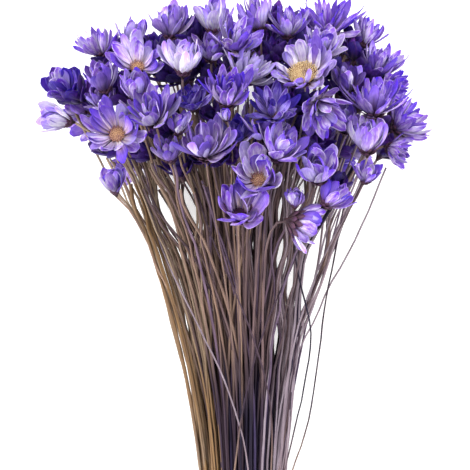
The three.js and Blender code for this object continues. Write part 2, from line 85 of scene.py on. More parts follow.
def makeCamera():
    place = cameraPlace
    data = bpy.data.cameras.new("camera")
    data.sensor_width = place["sensor"]
    data.lens = place["sensor"] * place["away"] / place["frameWidth"]
    data.clip_end = 20
    camera = bpy.data.objects.new("camera", data)
    camera.location = (Vector((place["x"], place["y"], place["depth"] + place["away"])) + shift) * mm
    bpy.context.scene.collection.objects.link(camera)
    bpy.context.scene.camera = camera


# Blooms 1 to 49 in their order. at: right of the middle, up from the waist, sunk below the dome. faces:
# degrees turned right from the crown and raised to the viewer. opens: degrees between petals and axis.
blooms = [
    dict(at=(-90, 192, 0), faces=(-20, 38), opens=36, size=1.08, tone="deep", petals="broad", inside=True),
    dict(at=(-92.5, 174.5, 0), faces=(-82, 24), opens=24, size=1.02, tone="white", extra=1.2),
    dict(at=(-72, 212, 0), faces=(-15, 10), opens=55, size=1, petals="slim"),
    dict(at=(-55, 216, 0), faces=(5, 20), opens=30, size=0.95, tone="pale"),
    dict(at=(-52, 201, 0), faces=(0, 55), opens=60, size=1.05, disc=3.2, rows=2, extra=1.25),
    dict(at=(-69, 194, 2), faces=(-15, 25), opens=35, size=1, tone="dusky"),
    dict(at=(-61.5, 167, -3), faces=(-10, 70), opens=62, size=1.14, disc=3.8, rows=2, extra=1.1, curled=1.2),
    dict(at=(-64, 144, 10), faces=(-12, 25), opens=20, size=0.88, petals="broad", inside=True),
    dict(at=(-44, 176, 0), faces=(-15, 40), opens=50, size=1.15),
    dict(at=(-31, 171, 8), faces=(10, 30), opens=30, size=0.7),
    dict(at=(-36, 222, 0), faces=(0, 25), opens=42, size=1.15, tone="lilac", inside=True, curled=1.2),
    dict(at=(-14.5, 224, 0), faces=(0, 10), opens=35, size=1.12, tone="pale"),
    dict(at=(-29, 202, 0), faces=(5, 20), opens=40, size=1.1, tone="white", curled=1.4, extra=1.3),
    dict(at=(-3, 212, 0), faces=(20, 45), opens=50, size=1.1, petals="slim"),
    dict(at=(7, 225, 0), faces=(-10, 15), opens=45, size=1.1, tone="lilac", petals="slim"),
    dict(at=(22, 221, 3), faces=(0, 20), opens=45, size=1, petals="slim"),
    dict(at=(42, 222, 0), faces=(0, 22), opens=66, size=1.3, tone="bright", petals="slim", extra=1.2,
         curled=0.8),
    dict(at=(62, 218, 0), faces=(20, 10), opens=35, size=0.95, petals="slim"),
    dict(at=(68, 202, 0), faces=(25, 30), opens=45, size=1.15, petals="slim"),
    dict(at=(28, 197, -5), faces=(-16, 48), opens=58, size=0.95, tone="pale", disc=6.9, florets="tan",
         rows=2, extra=1.6, cropped={"way": (-0.95, -0.3), "share": 0.72, "opens": -8}),
    dict(at=(37, 179, 0), faces=(150, 50), opens=60, size=1.1),
    dict(at=(-8, 186, -2), faces=(0, 45), opens=40, size=1.2, tone="bright", petals="slim", extra=1.2,
         curled=1.15),
    dict(at=(3, 197, 10), faces=(30, 30), opens=50, size=1.1, tone="white", petals="slim", curled=1.2),
    dict(at=(-18, 160, 0), faces=(0, 30), opens=54, size=1.25, tone="dusky", rows=3, curled=1.2),
    dict(at=(7, 146, 0), faces=(0, 66), opens=46, size=1.2, disc=3.6, petals="broad", curled=1.5, rows=2),
    dict(at=(-2, 131, 0), faces=(4, 52), opens=46, size=1.26, tone="bright", petals="broad", rows=2,
         curled=1.5, hub=4.2, hollow=True, cropped={"way": (0, -1), "share": 0.6, "opens": 12}),
    dict(at=(18, 159, 0), faces=(25, 25), opens=45, size=1.1),
    dict(at=(35.8, 148.4, 0), faces=(-6, 42), opens=44, size=1.12, petals="broad", hollow=True, curled=1.5),
    dict(at=(42.8, 136, 3), faces=(38, 8), opens=44, size=0.94, tone="bright", curled=1.2),
    dict(at=(60, 164, 0), faces=(0, 20), opens=46, size=1.16, tone="lilac", inside=True, curled=1.6,
         extra=1.15),
    dict(at=(64, 182, 0), faces=(0, 15), opens=55, size=1.3, tone="bright", petals="slim"),
    dict(at=(79, 172, 0), faces=(60, 15), opens=56, size=1.15, petals="slim"),
    dict(at=(75, 159, 4), faces=(110, 20), opens=45, size=0.82, fusedInto=32, petals="slim"),
    dict(at=(28.6, 122, 0), faces=(110, -10), opens=42, size=0.86, petals="broad", hub=4.2, bracts=1.8),
    dict(at=(14, 177, 4), faces=(0, 60), opens=60, size=1, tone="deep", petals="slim"),
    dict(at=(-2, 167, 12), faces=(0, 40), opens=40, size=0.8, tone="deep"),
    dict(at=(11, 168, 8), faces=(40, 35), opens=45, size=0.95),
    dict(at=(-9, 175, -1), faces=(-20, 45), opens=8, size=0.42, tone="pale", petals="broad"),
    dict(at=(24.8, 135, 2), faces=(0, 30), opens=24, size=0.6, tone="lilac"),
    dict(at=(60, 147, 2), faces=(20, 30), opens=40, size=0.7),
    dict(at=(74, 192, 4), faces=(80, 30), opens=40, size=0.8, tone="bright", petals="slim"),
    dict(at=(51, 192, 10), faces=(0, 40), opens=40, size=0.9, tone="dusky"),
    dict(at=(-52, 188, 2), faces=(0, 30), opens=40, size=0.95, fusedInto=5),
    dict(at=(-70, 184, 14), faces=(-20, 40), opens=40, size=0.85, tone="dusky"),
    dict(at=(-25, 183, 14), faces=(0, 40), opens=40, size=0.85, tone="deep"),
    dict(at=(-16, 208, 12), faces=(0, 35), opens=45, size=0.9, tone="dusky"),
    dict(at=(38, 209, -3), faces=(10, 30), opens=45, size=0.95, fusedInto=20),
    dict(at=(-36, 158, 12), faces=(-10, 35), opens=40, size=0.85, tone="dusky"),
    dict(at=(50, 172, 10), faces=(10, 40), opens=45, size=0.9, tone="dusky"),
]

# The trios under the dome, by the middle of each. The first three rest on the surface.
trios = [(-46, 160, 13), (0, 166, 13), (46, 160, 13), (-75, 180, 36), (72, 176, 36),
         (-42, 206, 34), (4, 212, 36), (46, 206, 34)]
trioForm = {"resting": 3, "apart": 8.5, "tilt": 24, "crownward": 30, "opens": 52, "size": 0.95,
            "tones": ("violet", "dusky", "deep")}

# Blooms hidden inside the dome: how deep between its middle and its face, and how far apart
hidden = {"count": 66, "tries": 6000, "seed": 90917, "inner": 0.25, "outer": 0.78, "apart": 13.5,
          "lowest": 18, "opens": (28, 52), "size": (0.72, 1.0), "crownward": 0.35, "facing": 0.55,
          "reachX": 64, "below": 8}
# Those behind the blooms in view, where light would come through the crown. Like all the blooms inside, they
# take the near-black inner tone, which is painted shade.
fillers = [(-23, 214, 66), (40, 196, 62), (-46, 204, 58), (-36, 194, 72), (17, 203, 68), (27, 210, 62),
           (54, 213, 50), (14, 222, 48), (-63, 206, 50), (68, 157, 62), (-61, 158, 62), (66, 168, 58),
           (56, 204, 56), (-80, 184, 60), (47, 187, 66), (61, 194, 60), (-22, 201, 64), (-29, 193, 70),
           (42, 137, 60), (-30, 147, 66), (-68, 178, 66), (58, 181, 62), (24, 198, 64), (-59, 189, 56),
           (-56, 184, 70), (-15, 192, 66), (11, 197, 62)]

# A petal of a bloom of size 1. waist: its width at the root. swell, taper, curls and flicks are powers
# of the place along it. kinds: what differs between petals. vary: how far each petal strays from it.
petalForm = {"length": 14, "slim": 0.7, "thickness": 0.2, "waist": 0.36, "widest": 0.6, "swell": 1.2,
             "taper": 0.55, "tip": 0.14, "cup": 0.62, "flatter": 0.45, "channel": 0.9, "channelEnd": 0.14,
             "ridge": 0.07, "ridges": 3, "leastOpen": 5, "roll": 0.2, "steps": 40, "curls": 1.25,
             "flickFrom": 0.72, "flickOver": 0.28, "flicks": 1.5}
petalKinds = {
    "oblong": {"width": 5.4, "blunt": (1.6, 2.6), "count": 1.0},
    "slim": {"width": 4.0, "blunt": (1.2, 1.9), "count": 1.2},
    "broad": {"width": 6.9, "blunt": (1.9, 2.9), "count": 0.86},
}
petalVary = {"length": 0.2, "width": 0.2, "turn": 0.32, "opens": 13, "curl": 18, "twist": 0.6, "bend": 0.14,
             "flick": 40, "flicked": 0.5, "fold": 0.5, "uneven": 0.18, "ragged": 0.08, "cup": (0.7, 1.5),
             "waves": (4, 9), "ripple": (0.1, 0.45)}
# Its rows of petals from the outside in. share: of the bloom's opening, to which opens adds degrees.
# reach and breadth: of the petals. root: how far out on the hub they grow, and lift how high.
rows = [
    dict(share=1.0, opens=10, curls=40, reach=1.0, breadth=1.04, count=11, lift=0.0, root=1.0),
    dict(share=0.92, opens=-2, curls=36, reach=0.97, breadth=1.0, count=9, lift=0.5, root=0.9),
    dict(share=0.68, opens=-11, curls=30, reach=0.86, breadth=0.92, count=6, lift=1.0, root=0.74),
    dict(share=0.42, opens=-8, curls=20, reach=0.66, breadth=0.74, count=4, lift=1.4, root=0.5),
]
hub = {"radius": 2.0, "depth": 3.4, "rise": 0.5}   # what the petals grow on
bends = (0, -9, -18, 10, -28, -38, 20)   # tried in turn where a petal would cross another bloom
shortenings = (1.0, 0.82, 0.64)
petalReach = 46                          # blooms further apart than this don't meet

# Points along and across a petal, for blooms in view, on the underside and inside
viewMesh = {"along": 11, "across": 5, "rows": 4, "counts": 1.0}
underMesh = {"along": 8, "across": 5, "rows": 4, "counts": 0.86}
hiddenMesh = {"along": 6, "across": 3, "rows": 3, "counts": 0.72}
testMesh = {"along": 5, "across": 3}


def domeHeight(x, y):
    left = 1 - ((x - dome["x"]) / dome["reachX"]) ** 2 - ((y - dome["y"]) / dome["reachY"]) ** 2
    return dome["z"] + dome["above"] * math.sqrt(max(0, left))


def facing(turned, raised):
    level = math.cos(math.radians(raised))
    turn = math.radians(turned)
    return Vector((math.sin(turn) * level, math.cos(turn) * level, math.sin(math.radians(raised))))


def seedOf(index):
    return 1009 + index * 17


def viewedBloom(row, index):
    x, y, sunk = row["at"]
    axis = facing(*row["faces"])
    reach = petalForm["length"] * row["size"] * math.cos(math.radians(row["opens"]))
    number = row.get("fusedInto", index + 1)
    return {**row, "axis": axis, "heart": Vector((x, y, domeHeight(x, y) - sunk)) - axis * reach / 2,
            "node": "bloom_%02d" % number, "piece": "petals_%02d" % number, "group": "viewed",
            "discPiece": "disc_%02d" % (index + 1), "mesh": viewMesh, "seed": seedOf(index),
            "tone": row.get("tone", "violet"), "petalKind": row.get("petals", "oblong")}


# Three blooms round a middle, each turned a little away from the others
def trioBlooms(middle, index):
    form = trioForm
    outward = Vector(((middle[0] - dome["x"]) / dome["reachX"],
                      (middle[1] - dome["y"] + form["crownward"]) / dome["reachY"],
                      (middle[2] - dome["z"]) / dome["above"])).normalized()
    turned = Vector((0, 0, 1)).rotation_difference(outward)
    made = []
    for k in range(3):
        turn = k / 3 * math.tau + index
        aside = turned @ Vector((math.cos(turn), math.sin(turn), 0))
        axis = (outward + aside * math.tan(math.radians(form["tilt"]))).normalized()
        made.append({"axis": axis, "heart": Vector(middle) + aside * form["apart"], "opens": form["opens"],
                     "size": form["size"], "node": "bloom_trio_%d" % (index + 1), "mesh": underMesh,
                     "piece": "petals_trio_%d" % (index + 1), "group": "under", "petalKind": "broad",
                     "rests": index < form["resting"], "tone": form["tones"][(index + k) % 3],
                     "seed": seedOf(len(blooms) + index * 3 + k)})
    return made


# A bloom inside the dome, in the near-black inner tone, which is painted shade.
def shadedInnerBloom(count, axis, heart, opens, size):
    return {"axis": axis, "heart": heart, "opens": opens, "size": size, "seed": hidden["seed"] + count * 31,
            "piece": "petals_inner_%d" % (count % 3 + 1), "group": "hidden", "mesh": hiddenMesh,
            "tone": "inner", "petalKind": "broad"}


# Blooms inside the dome, kept apart from each other and from all the rest
def hiddenBlooms(others):
    draw = makeDraw(hidden["seed"])
    made = []
    for place in fillers:
        axis = Vector((place[0] / 90, 1, 0.3)).normalized()
        made.append(shadedInnerBloom(len(made), axis, Vector(place), 50, 0.95))
    for attempt in range(hidden["tries"]):
        if len(made) == hidden["count"]:
            break
        way = Vector((spread(draw, 1), spread(draw, 1) + hidden["crownward"], spread(draw, 1)))
        away = between(draw, hidden["inner"], hidden["outer"])
        if way.length > 1.2 or way.length < 0.2:
            continue
        way.normalize()
        axis = Vector((way.x, way.y + hidden["facing"], way.z)).normalized()
        place = Vector((dome["x"] + way.x * dome["reachX"] * away,
                        dome["y"] + way.y * dome["reachY"] * away,
                        dome["z"] + way.z * dome["above"] * away))
        if place.z < hidden["lowest"] or place.y < dome["y"] - hidden["below"]:
            continue
        if abs(place.x - dome["x"]) > hidden["reachX"]:
            continue
        if any((place - other["heart"]).length < hidden["apart"] for other in others + made):
            continue
        size = between(draw, *hidden["size"])
        made.append(shadedInnerBloom(len(made), axis, place, between(draw, *hidden["opens"]), size))
    return made


def hubRadius(bloom):
    return max(hub["radius"] * math.sqrt(bloom["size"]), bloom.get("disc", 0), bloom.get("hub", 0))


# The grid of points on one petal in its bloom's own frame: rows from root to tip, across in columns
def petalSheet(petal, along, across):
    form = petalForm
    fine = np.linspace(0, 1, form["steps"] + 1)
    end = np.clip((fine - form["flickFrom"]) / form["flickOver"], 0, 1) ** form["flicks"]
    angle = petal["root"] - petal["curl"] * fine ** form["curls"] + petal["flick"] * end
    step = petal["length"] / form["steps"]
    middle = (angle[1:] + angle[:-1]) / 2
    out = petal["radius"] + np.concatenate([[0], np.cumsum(np.sin(middle))]) * step
    up = petal["height"] + np.concatenate([[0], np.cumsum(np.cos(middle))]) * step
    out, up, angle = (np.interp(along, fine, value)[:, None] for value in (out, up, angle))
    swell = np.sin(np.minimum(along / form["widest"], 1) * math.pi / 2) ** form["swell"]
    swell = form["waist"] + (1 - form["waist"]) * swell
    past = np.clip((along - form["widest"]) / (1 - form["widest"]), 0, 1)
    taper = np.maximum((1 - past ** petal["blunt"]) ** form["taper"], form["tip"])
    ragged = petal["ragged"] * np.sin(along * petal["waves"] * 3 + petal["phase"]) * along
    half = (petal["width"] / 2 * swell * taper)[:, None]
    half = half * (1 + petal["uneven"] * across + ragged[:, None] * across ** 2)
    cup = petal["cup"] * (1 - form["flatter"] * along) + form["channel"] * np.exp(-along / form["channelEnd"])
    cup = cup[:, None]
    aside = half * np.sin(across * cup) / cup
    rise = half * (1 - np.cos(across * cup)) / cup
    body = np.sin(np.pi * np.minimum(along * 1.1 + 0.05, 1))[:, None]   # none at the root and the tip
    rise = rise + form["ridge"] * np.cos(across * math.pi * form["ridges"]) * body
    wave = np.sin(along * petal["waves"] + petal["phase"])[:, None] * across
    rise = rise + petal["ripple"] * wave * np.abs(across) * along[:, None]
    rise = rise + petal["fold"] * np.abs(across) * body
    twist = (petal["roll"] + petal["twist"] * along)[:, None]
    aside, rise = aside * np.cos(twist) - rise * np.sin(twist), aside * np.sin(twist) + rise * np.cos(twist)
    aside = aside + (petal["bend"] * petal["length"] * along ** 2)[:, None]
    away = out - rise * np.cos(angle)
    height = up + rise * np.sin(angle)
    cosine, sine = math.cos(petal["turn"]), math.sin(petal["turn"])
    return np.stack([away * cosine - aside * sine, away * sine + aside * cosine, height], axis=-1)


# Faces of a closed sheet, its upper side, its lower side and the rim between them, with a place in
# the bake's cell for each corner, and how many of the faces are sides
@cache
def facesOfSheet(nu, nv):
    size = nu * nv
    top = [(i * nv + j, (i + 1) * nv + j, (i + 1) * nv + j + 1, i * nv + j + 1)
           for i in range(nu - 1) for j in range(nv - 1)]
    bottom = [tuple(size + k for k in reversed(face)) for face in top]
    left = [(i * nv, (i + 1) * nv) for i in range(nu - 1)]
    far = [((nu - 1) * nv + j, (nu - 1) * nv + j + 1) for j in range(nv - 1)]
    right = [((i + 1) * nv + nv - 1, i * nv + nv - 1) for i in range(nu - 1)]
    near = [(j + 1, j) for j in range(nv - 1)]
    rim = [(b, a, size + a, size + b) for a, b in left + far + right + near]
    corners = [(0.02 + side * 0.46 + 0.42 * j / (nv - 1), 0.02 + 0.96 * i / (nu - 1))
               for side in range(2) for i in range(nu) for j in range(nv)]
    spots = [corners[k] for face in top + bottom for k in face]
    for k in range(len(rim)):
        low, high = k / len(rim), (k + 0.8) / len(rim)
        spots += [(0.94, low), (0.94, high), (0.98, high), (0.98, low)]
    return np.array(top + bottom + rim), np.array(spots), len(top + bottom)


# Gathers closed shells into one mesh. place holds across, along, a chance value and, on petals,
# 1 on the side that faces the heart and 0 on the back.
class Skin:
    def __init__(self):
        self.points, self.faces, self.places, self.spots, self.slots, self.flats = [], [], [], [], [], []
        self.count = 0

    def add(self, points, faces, places, spots, slots, flat):
        self.points.append(points)
        self.faces += [[k + self.count for k in face] for face in faces]
        self.places.append(places)
        self.spots.append(spots)
        self.slots.append(np.broadcast_to(np.int32(slots), len(faces)))
        self.flats.append(flat)
        self.count += len(points)

    def build(self, name, materials):
        mesh = bpy.data.meshes.new(name)
        points = (np.concatenate(self.points) + np.array(shift)) * mm
        mesh.from_pydata(points.tolist(), [], self.faces)
        mesh.polygons.foreach_set("use_smooth", np.ones(len(mesh.polygons), bool))
        mesh.polygons.foreach_set("material_index", np.concatenate(self.slots))
        sharp = mesh.attributes.get("sharp_face") or mesh.attributes.new("sharp_face", "BOOLEAN", "FACE")
        sharp.data.foreach_set("value", np.concatenate(self.flats))
        place = mesh.attributes.new("place", "FLOAT_COLOR", "POINT")
        place.data.foreach_set("color", np.concatenate(self.places).ravel().astype(np.float32))
        atlas = mesh.uv_layers.new(name="OFBake")
        side = math.ceil(math.sqrt(len(self.spots)))
        cells = [(spot + (k % side, k // side)) / side for k, spot in enumerate(self.spots)]
        atlas.data.foreach_set("uv", np.concatenate(cells).ravel().astype(np.float32))
        for material in materials:
            mesh.materials.append(material)
        piece = bpy.data.objects.new(name, mesh)
        bpy.context.scene.collection.objects.link(piece)
        return piece


def placed(points, matrix):
    flat = points.reshape(-1, 3)
    turned = np.array(matrix.to_3x3())
    return (flat @ turned.T + np.array(matrix.translation)).reshape(points.shape)


def frameOf(bloom):
    turn = Vector((0, 0, 1)).rotation_difference(bloom["axis"]).to_matrix().to_4x4()
    return Matrix.Translation(bloom["heart"]) @ turn


# A petal's drawn shape: where it grows on the hub, how it opens and how it is bent by drying
def drawPetal(bloom, row, k, count, draw):
    size = bloom["size"]
    form, vary = petalForm, petalVary
    opened = bloom["opens"] * row["share"] + row["opens"] + spread(draw, vary["opens"])
    curls = row["curls"] * bloom.get("curled", 1) + spread(draw, vary["curl"])
    kind = petalKinds[bloom["petalKind"]]
    turn = (k + spread(draw, vary["turn"])) / count * math.tau + bloom["seed"] % 7 + row["lift"]
    flick = spread(draw, vary["flick"]) if draw() < vary["flicked"] else 0
    return {
        "turn": turn, "opened": max(opened, form["leastOpen"]), "curl": math.radians(curls),
        "flick": math.radians(flick), "inner": row["lift"] >= 1,
        "length": form["length"] * size * row["reach"] * (1 + spread(draw, vary["length"])),
        "width": kind["width"] * size ** form["slim"] * row["breadth"] * (1 + spread(draw, vary["width"])),
        "radius": hubRadius(bloom) * row["root"], "height": hub["rise"] * size * (row["lift"] * 2 - 0.6),
        "cup": form["cup"] * between(draw, *vary["cup"]), "twist": spread(draw, vary["twist"]),
        "roll": form["roll"], "bend": spread(draw, vary["bend"]), "blunt": between(draw, *kind["blunt"]),
        "waves": between(draw, *vary["waves"]), "phase": draw() * math.tau,
        "ripple": between(draw, *vary["ripple"]) * size, "fold": between(draw, -0.2, 1) * vary["fold"],
        "uneven": spread(draw, vary["uneven"]), "ragged": vary["ragged"], "chance": draw(),
    }


def bentPetal(petal, bend, shortened):
    root = math.radians(max(petal["opened"] + bend, 2))
    return {**petal, "root": root, "length": petal["length"] * shortened}


testGrid = np.linspace(0.12, 1, testMesh["along"]), np.linspace(-1, 1, testMesh["across"])
testFaces = facesOfSheet(testMesh["along"], testMesh["across"])[0].tolist()
testFaces = testFaces[:(testMesh["along"] - 1) * (testMesh["across"] - 1)]


def testSheet(petal, matrix):
    return placed(petalSheet(petal, *testGrid), matrix).reshape(-1, 3)


def petalsOf(bloom):
    draw = makeDraw(bloom["seed"] * 7919 % 2147483647)
    mesh = bloom["mesh"]
    drawn = []
    for row in rows[:min(mesh["rows"], bloom.get("rows", 3 if bloom.get("disc") else 4))]:
        share = mesh["counts"] * petalKinds[bloom["petalKind"]]["count"] * min(1, bloom["size"] ** 0.5 + 0.05)
        count = max(3, round(row["count"] * (share * bloom.get("extra", 1))))
        drawn += [drawPetal(bloom, row, k, count, draw) for k in range(count)]
    cropped = bloom.get("cropped")
    if cropped:
        turned = frameOf(bloom).to_3x3()
        for petal in drawn:
            way = turned @ Vector((math.cos(petal["turn"]), math.sin(petal["turn"]), 0))
            if way.xy.dot(Vector(cropped["way"])) > 0.3:
                petal["length"] *= cropped["share"]
                petal["opened"] = max(petal["opened"] + cropped["opens"], petalForm["leastOpen"])
    return drawn


# Bends a bloom's petals clear of the blooms and stems that are there already
def settlePetals(bloom, near, stems):
    matrix = frameOf(bloom)
    settled = []
    for petal in petalsOf(bloom):
        for shortened, bend in product(shortenings, bends):
            tried = bentPetal(petal, bend, shortened)
            sheet = testSheet(tried, matrix)
            if sheet[:, 2].min() < 0.4 and not bloom.get("rests"):
                continue
            tree = BVHTree.FromPolygons(sheet.tolist(), testFaces)
            if not any(tree.overlap(other) for other in near + [stems]):
                settled.append(tried)
                break
    return settled


def layDown(members):
    lows = [testSheet(bentPetal(petal, 0, 1), frameOf(bloom))[:, 2].min()
            for bloom in members for petal in petalsOf(bloom)]
    for bloom in members:
        bloom["heart"].z -= min(lows) - 0.3


# Adds a petal or a bract as a closed sheet. backs: what place says of its upper and its lower side.
def addSheet(skin, petal, along, across, matrix, slot, backs):
    faces, spots, sides = facesOfSheet(len(along), len(across))
    sheet = petalSheet(petal, along, across)
    normal = np.cross(np.gradient(sheet, axis=0), np.gradient(sheet, axis=1))
    normal /= np.maximum(np.linalg.norm(normal, axis=-1, keepdims=True), 1e-9)
    normal *= petalForm["thickness"] / 2
    shell = np.concatenate([(sheet + normal).reshape(-1, 3), (sheet - normal).reshape(-1, 3)])
    grid = np.stack(np.meshgrid(along, (across + 1) / 2, indexing="ij"), axis=-1).reshape(-1, 2)
    chance = np.full(len(grid), petal["chance"])
    place = np.concatenate([np.column_stack([grid[:, 1], grid[:, 0], chance, np.full(len(grid), back)])
                            for back in backs])
    skin.add(placed(shell, matrix), faces, place, spots, slot, np.arange(len(faces)) >= sides)


# The slots of a bloom's materials: 0 petals, 1 bracts, 2 florets, 3 petals of its second tone
def addPetals(skin, bloom):
    mesh = bloom["mesh"]
    along = np.linspace(0, 1, mesh["along"]) ** 0.92
    across = np.linspace(-1, 1, mesh["across"])
    share = secondTones[bloom["tone"]][1]
    for petal in bloom["petals"]:
        second = petal["chance"] * 17.3 % 1 < share or bloom.get("inside") and petal["inner"]
        addSheet(skin, petal, along, across, frameOf(bloom), 3 if second else 0, (1.0, 0.0))


# The rule for a stem's run from its cut end through the tie and the waist to the neck of its bloom.
# wander: how far it leaves its bloom's own share of the bundle. clearance: how far it keeps from the
# other blooms, but for the last points, kept. thickness: shares of the radius along it.
stemForm = {"radius": (0.46, 0.76), "sides": 6, "rings": 34, "rise": 84, "flare": 1.4, "neck": 18,
            "wander": 0.1, "innerWander": 0.2, "clearance": 5.2, "samples": 12, "kept": 2, "stagger": 7,
            "seed": 4711, "thickness": ((0, 0.55, 0.9, 1), (1.12, 1, 0.8, 0.95)), "uneven": (0.93, 1.07),
            "wobble": 0.16, "lift": 0.3}
# Stems that end among the blooms, stems that hug the sides of the tie, and how both are drawn in
extraStems = {"count": 225, "seed": 60013, "wander": 0.55, "away": (0.15, 0.7), "along": 24, "flatter": 0.9}
edgeStems = {"count": 26, "seed": 8821, "turns": (-64, 14), "x": (16, 58), "y": (146, 162), "z": (24, 44)}
drawIn = {"from": (-72, 22, 64), "to": (-72, 22, 40)}

# Thin stems that cross the others or stand clear of them, from the crown down
strayRadius = 0.42
strayTones = ("mauve", "brown", "mauve", "brown", "brown", "mauve", "dark", "mauve", "brown")
strays = [
    [(71, 151, 60), (62, 128, 53), (51, 105, 47), (43, 91, 43), (36, 74, 39), (30, 63, 36), (25, 48, 33),
     (21, 16, 26), (17, -24, 19), (19, -100, 16)],
    [(50, 132, 62), (46, 108, 50), (42, 86, 42), (38, 54, 33), (33, 20, 24), (20, -24, 16), (19, -100, 13)],
    [(53, 131, 60), (40, 106, 52), (28, 72, 42), (22, 40, 34), (19, 6, 28), (15, -24, 22), (17, -100, 18)],
    [(-24, 141, 60), (-15, 114, 58), (-3, 86, 52), (8, 56, 43), (14, 28, 34), (14, -24, 23), (15, -100, 18)],
    [(36, 134, 64), (25, 104, 57), (12, 74, 48), (3, 44, 39), (-3, 10, 31), (-6, -24, 25), (-8, -100, 22)],
    [(-50, 140, 52), (-40, 108, 48), (-25, 76, 43), (-9, 42, 36), (1, 8, 30), (4, -24, 26), (5, -100, 23)],
    [(24, 138, 62), (27, 100, 52), (34, 70, 41), (31, 40, 31), (24, 8, 24), (17, -24, 21), (19, -100, 18)],
    [(50, 146, 58), (47, 136, 55), (41.5, 119, 50), (37.5, 101, 46), (33, 84, 42), (30, 70, 38),
     (26, 45, 32), (22, 10, 25), (17, -24, 20), (19, -100, 16)],
    [(61, 147, 59), (51, 126, 54), (45, 109, 49), (38, 96, 45), (32, 81, 41), (27, 60, 36), (22, 20, 27),
     (16, -24, 20), (18, -100, 16)],
]

# Stems that lie together at the sides of the bunch: their common run, how many and how far apart
clumps = [
    {"run": [(-54.5, 143, 56), (-48.5, 124, 53), (-42.5, 104, 48), (-36, 82, 41), (-30, 58, 34),
             (-24.6, 30, 27), (-20.5, 0, 20), (-19, -24, 17), (-20, -100, 14)], "count": 10, "apart": 2.4},
    {"run": [(54, 152, 58), (43.5, 132.5, 54), (36, 119, 50), (31, 104, 46), (29.8, 92, 43),
             (28.5, 82, 40), (26.5, 70, 37), (25, 55, 33), (22.8, 35, 29), (20, 0, 22), (18, -24, 18),
             (19, -100, 15)], "count": 6, "apart": 1.7},
]

# Places where the stems part and the surface shows: x, y, half the height, half the width, lean
partings = [(-38.2, 129, 18, 3.2, -0.24), (-26.5, 132, 17, 3.0, -0.1), (-36.8, 148, 9, 2.0, -0.36),
            (-53, 132, 10, 1.8, -0.5), (18.8, 131, 10, 1.7, 0.05), (18.6, 108, 11, 1.9, 0.03),
            (22.1, 100, 11, 1.5, 0.08), (28.5, 136, 10, 2.8, 0.05), (25.4, 94.5, 17, 2.2, 0.19),
            (33.9, 98, 24, 3.2, 0.24), (43.8, 113, 14, 2.0, 0.35), (17.2, 64, 13, 1.6, 0.06)]
partingReach = 4.5   # how many widths away the stems are still pushed
# Strands at the right, where stems cling together: x, y, half the height, reach, lean and pull
strands = [(37.3, 98, 26, 3.4, 0.27, 0.6), (43.2, 108, 17, 4.0, 0.22, 0.7)]
# The bunch's left edge, as height and place, and how much of what passes it is left
leftEdge = {"heights": (60, 75, 95, 112, 122, 132, 140), "places": (-34, -37.6, -42, -46.8, -51.4, -57, -70),
            "kept": 0.12}


def stemRun(end, axis, draw, hearts, wander, foot=None, drawnIn=False):
    form = stemForm
    aside = (end.x - dome["x"]) / dome["reachX"] + spread(draw, wander)
    above = (end.z - dome["z"]) / dome["above"] + spread(draw, wander)
    if foot:
        aside, above = foot
    inside = min(1, 1 / math.hypot(aside, above))

    def at(level):
        fill = level.get("fill", bundleFill) * inside
        return Vector((aside * fill * level["halfWidth"], level["y"],
                       level["z"] + above * fill * level["halfDepth"]))

    if drawnIn:
        end = Vector((float(np.interp(end.x, drawIn["from"], drawIn["to"])), end.y, end.z))
    foot = at(cut)
    foot.y += spread(draw, form["stagger"])
    low = at(waist)
    rising = Vector((low.x * form["flare"], form["rise"], low.z))
    neck = end - axis * form["neck"]
    run = [foot, at(tied)]
    for i in range(form["samples"] + 1):
        t = i / form["samples"]
        point = low * (1 - t) ** 3 + rising * 3 * t * (1 - t) ** 2 + neck * 3 * t * t * (1 - t) + end * t ** 3
        if 0 < i <= form["samples"] - form["kept"]:
            for other in hearts:
                gap = (point - other).length
                if gap < form["clearance"]:
                    point = other + (point - other) * (form["clearance"] / gap)
        run.append(point)
    return run


# Pushes points along the stems out of the partings, each stem to the side that it passes on, pulls
# them into the strands and holds them at the left edge
def parted(centres):
    for x, y, tall, wide, lean in partings:
        level = (centres[:, 1] - y) / tall
        opened = wide * np.clip(1 - level ** 2, 0, 1)
        aside = centres[:, 0] - x - lean * (centres[:, 1] - y)
        side = -1 if aside[np.argmin(np.abs(level))] < 0 else 1
        near = np.clip(1 - np.abs(aside) / (wide * partingReach), 0, 1)
        centres[:, 0] += side * opened * near
    for x, y, tall, wide, lean, pull in strands:
        level = (centres[:, 1] - y) / tall
        aside = centres[:, 0] - x - lean * (centres[:, 1] - y)
        if abs(aside[np.argmin(np.abs(level))]) < wide:
            centres[:, 0] -= aside * pull * np.clip(1 - level ** 2, 0, 1)
    edge = np.interp(centres[:, 1], leftEdge["heights"], leftEdge["places"], left=-99, right=-99)
    centres[:, 0] -= np.minimum(centres[:, 0] - edge, 0) * (1 - leftEdge["kept"])
    return centres


# A smooth curve through the points of a run
def smoothRun(points, count):
    knots = np.array([tuple(point) for point in points])
    gaps = np.sqrt(np.linalg.norm(np.diff(knots, axis=0), axis=1))
    where = np.concatenate([[0], np.cumsum(gaps)])
    ends = np.vstack([2 * knots[0] - knots[1], knots, 2 * knots[-1] - knots[-2]])
    times = np.concatenate([[where[0] - gaps[0]], where, [where[-1] + gaps[-1]]])
    lengths = np.concatenate([[0], np.cumsum(np.linalg.norm(np.diff(knots, axis=0), axis=1))])
    made = []
    for t in np.interp(np.linspace(0, lengths[-1], count), lengths, where):
        k = int(min(max(np.searchsorted(where, t, side="right") - 1, 0), len(knots) - 2)) + 1
        p, s = ends[k - 1:k + 3], times[k - 1:k + 3]
        a = [p[i] + (p[i + 1] - p[i]) * (t - s[i]) / (s[i + 1] - s[i]) for i in range(3)]
        b = [a[i] + (a[i + 1] - a[i]) * (t - s[i]) / (s[i + 2] - s[i]) for i in range(2)]
        made.append(b[0] + (b[1] - b[0]) * (t - s[1]) / (s[2] - s[1]))
    return np.array(made)


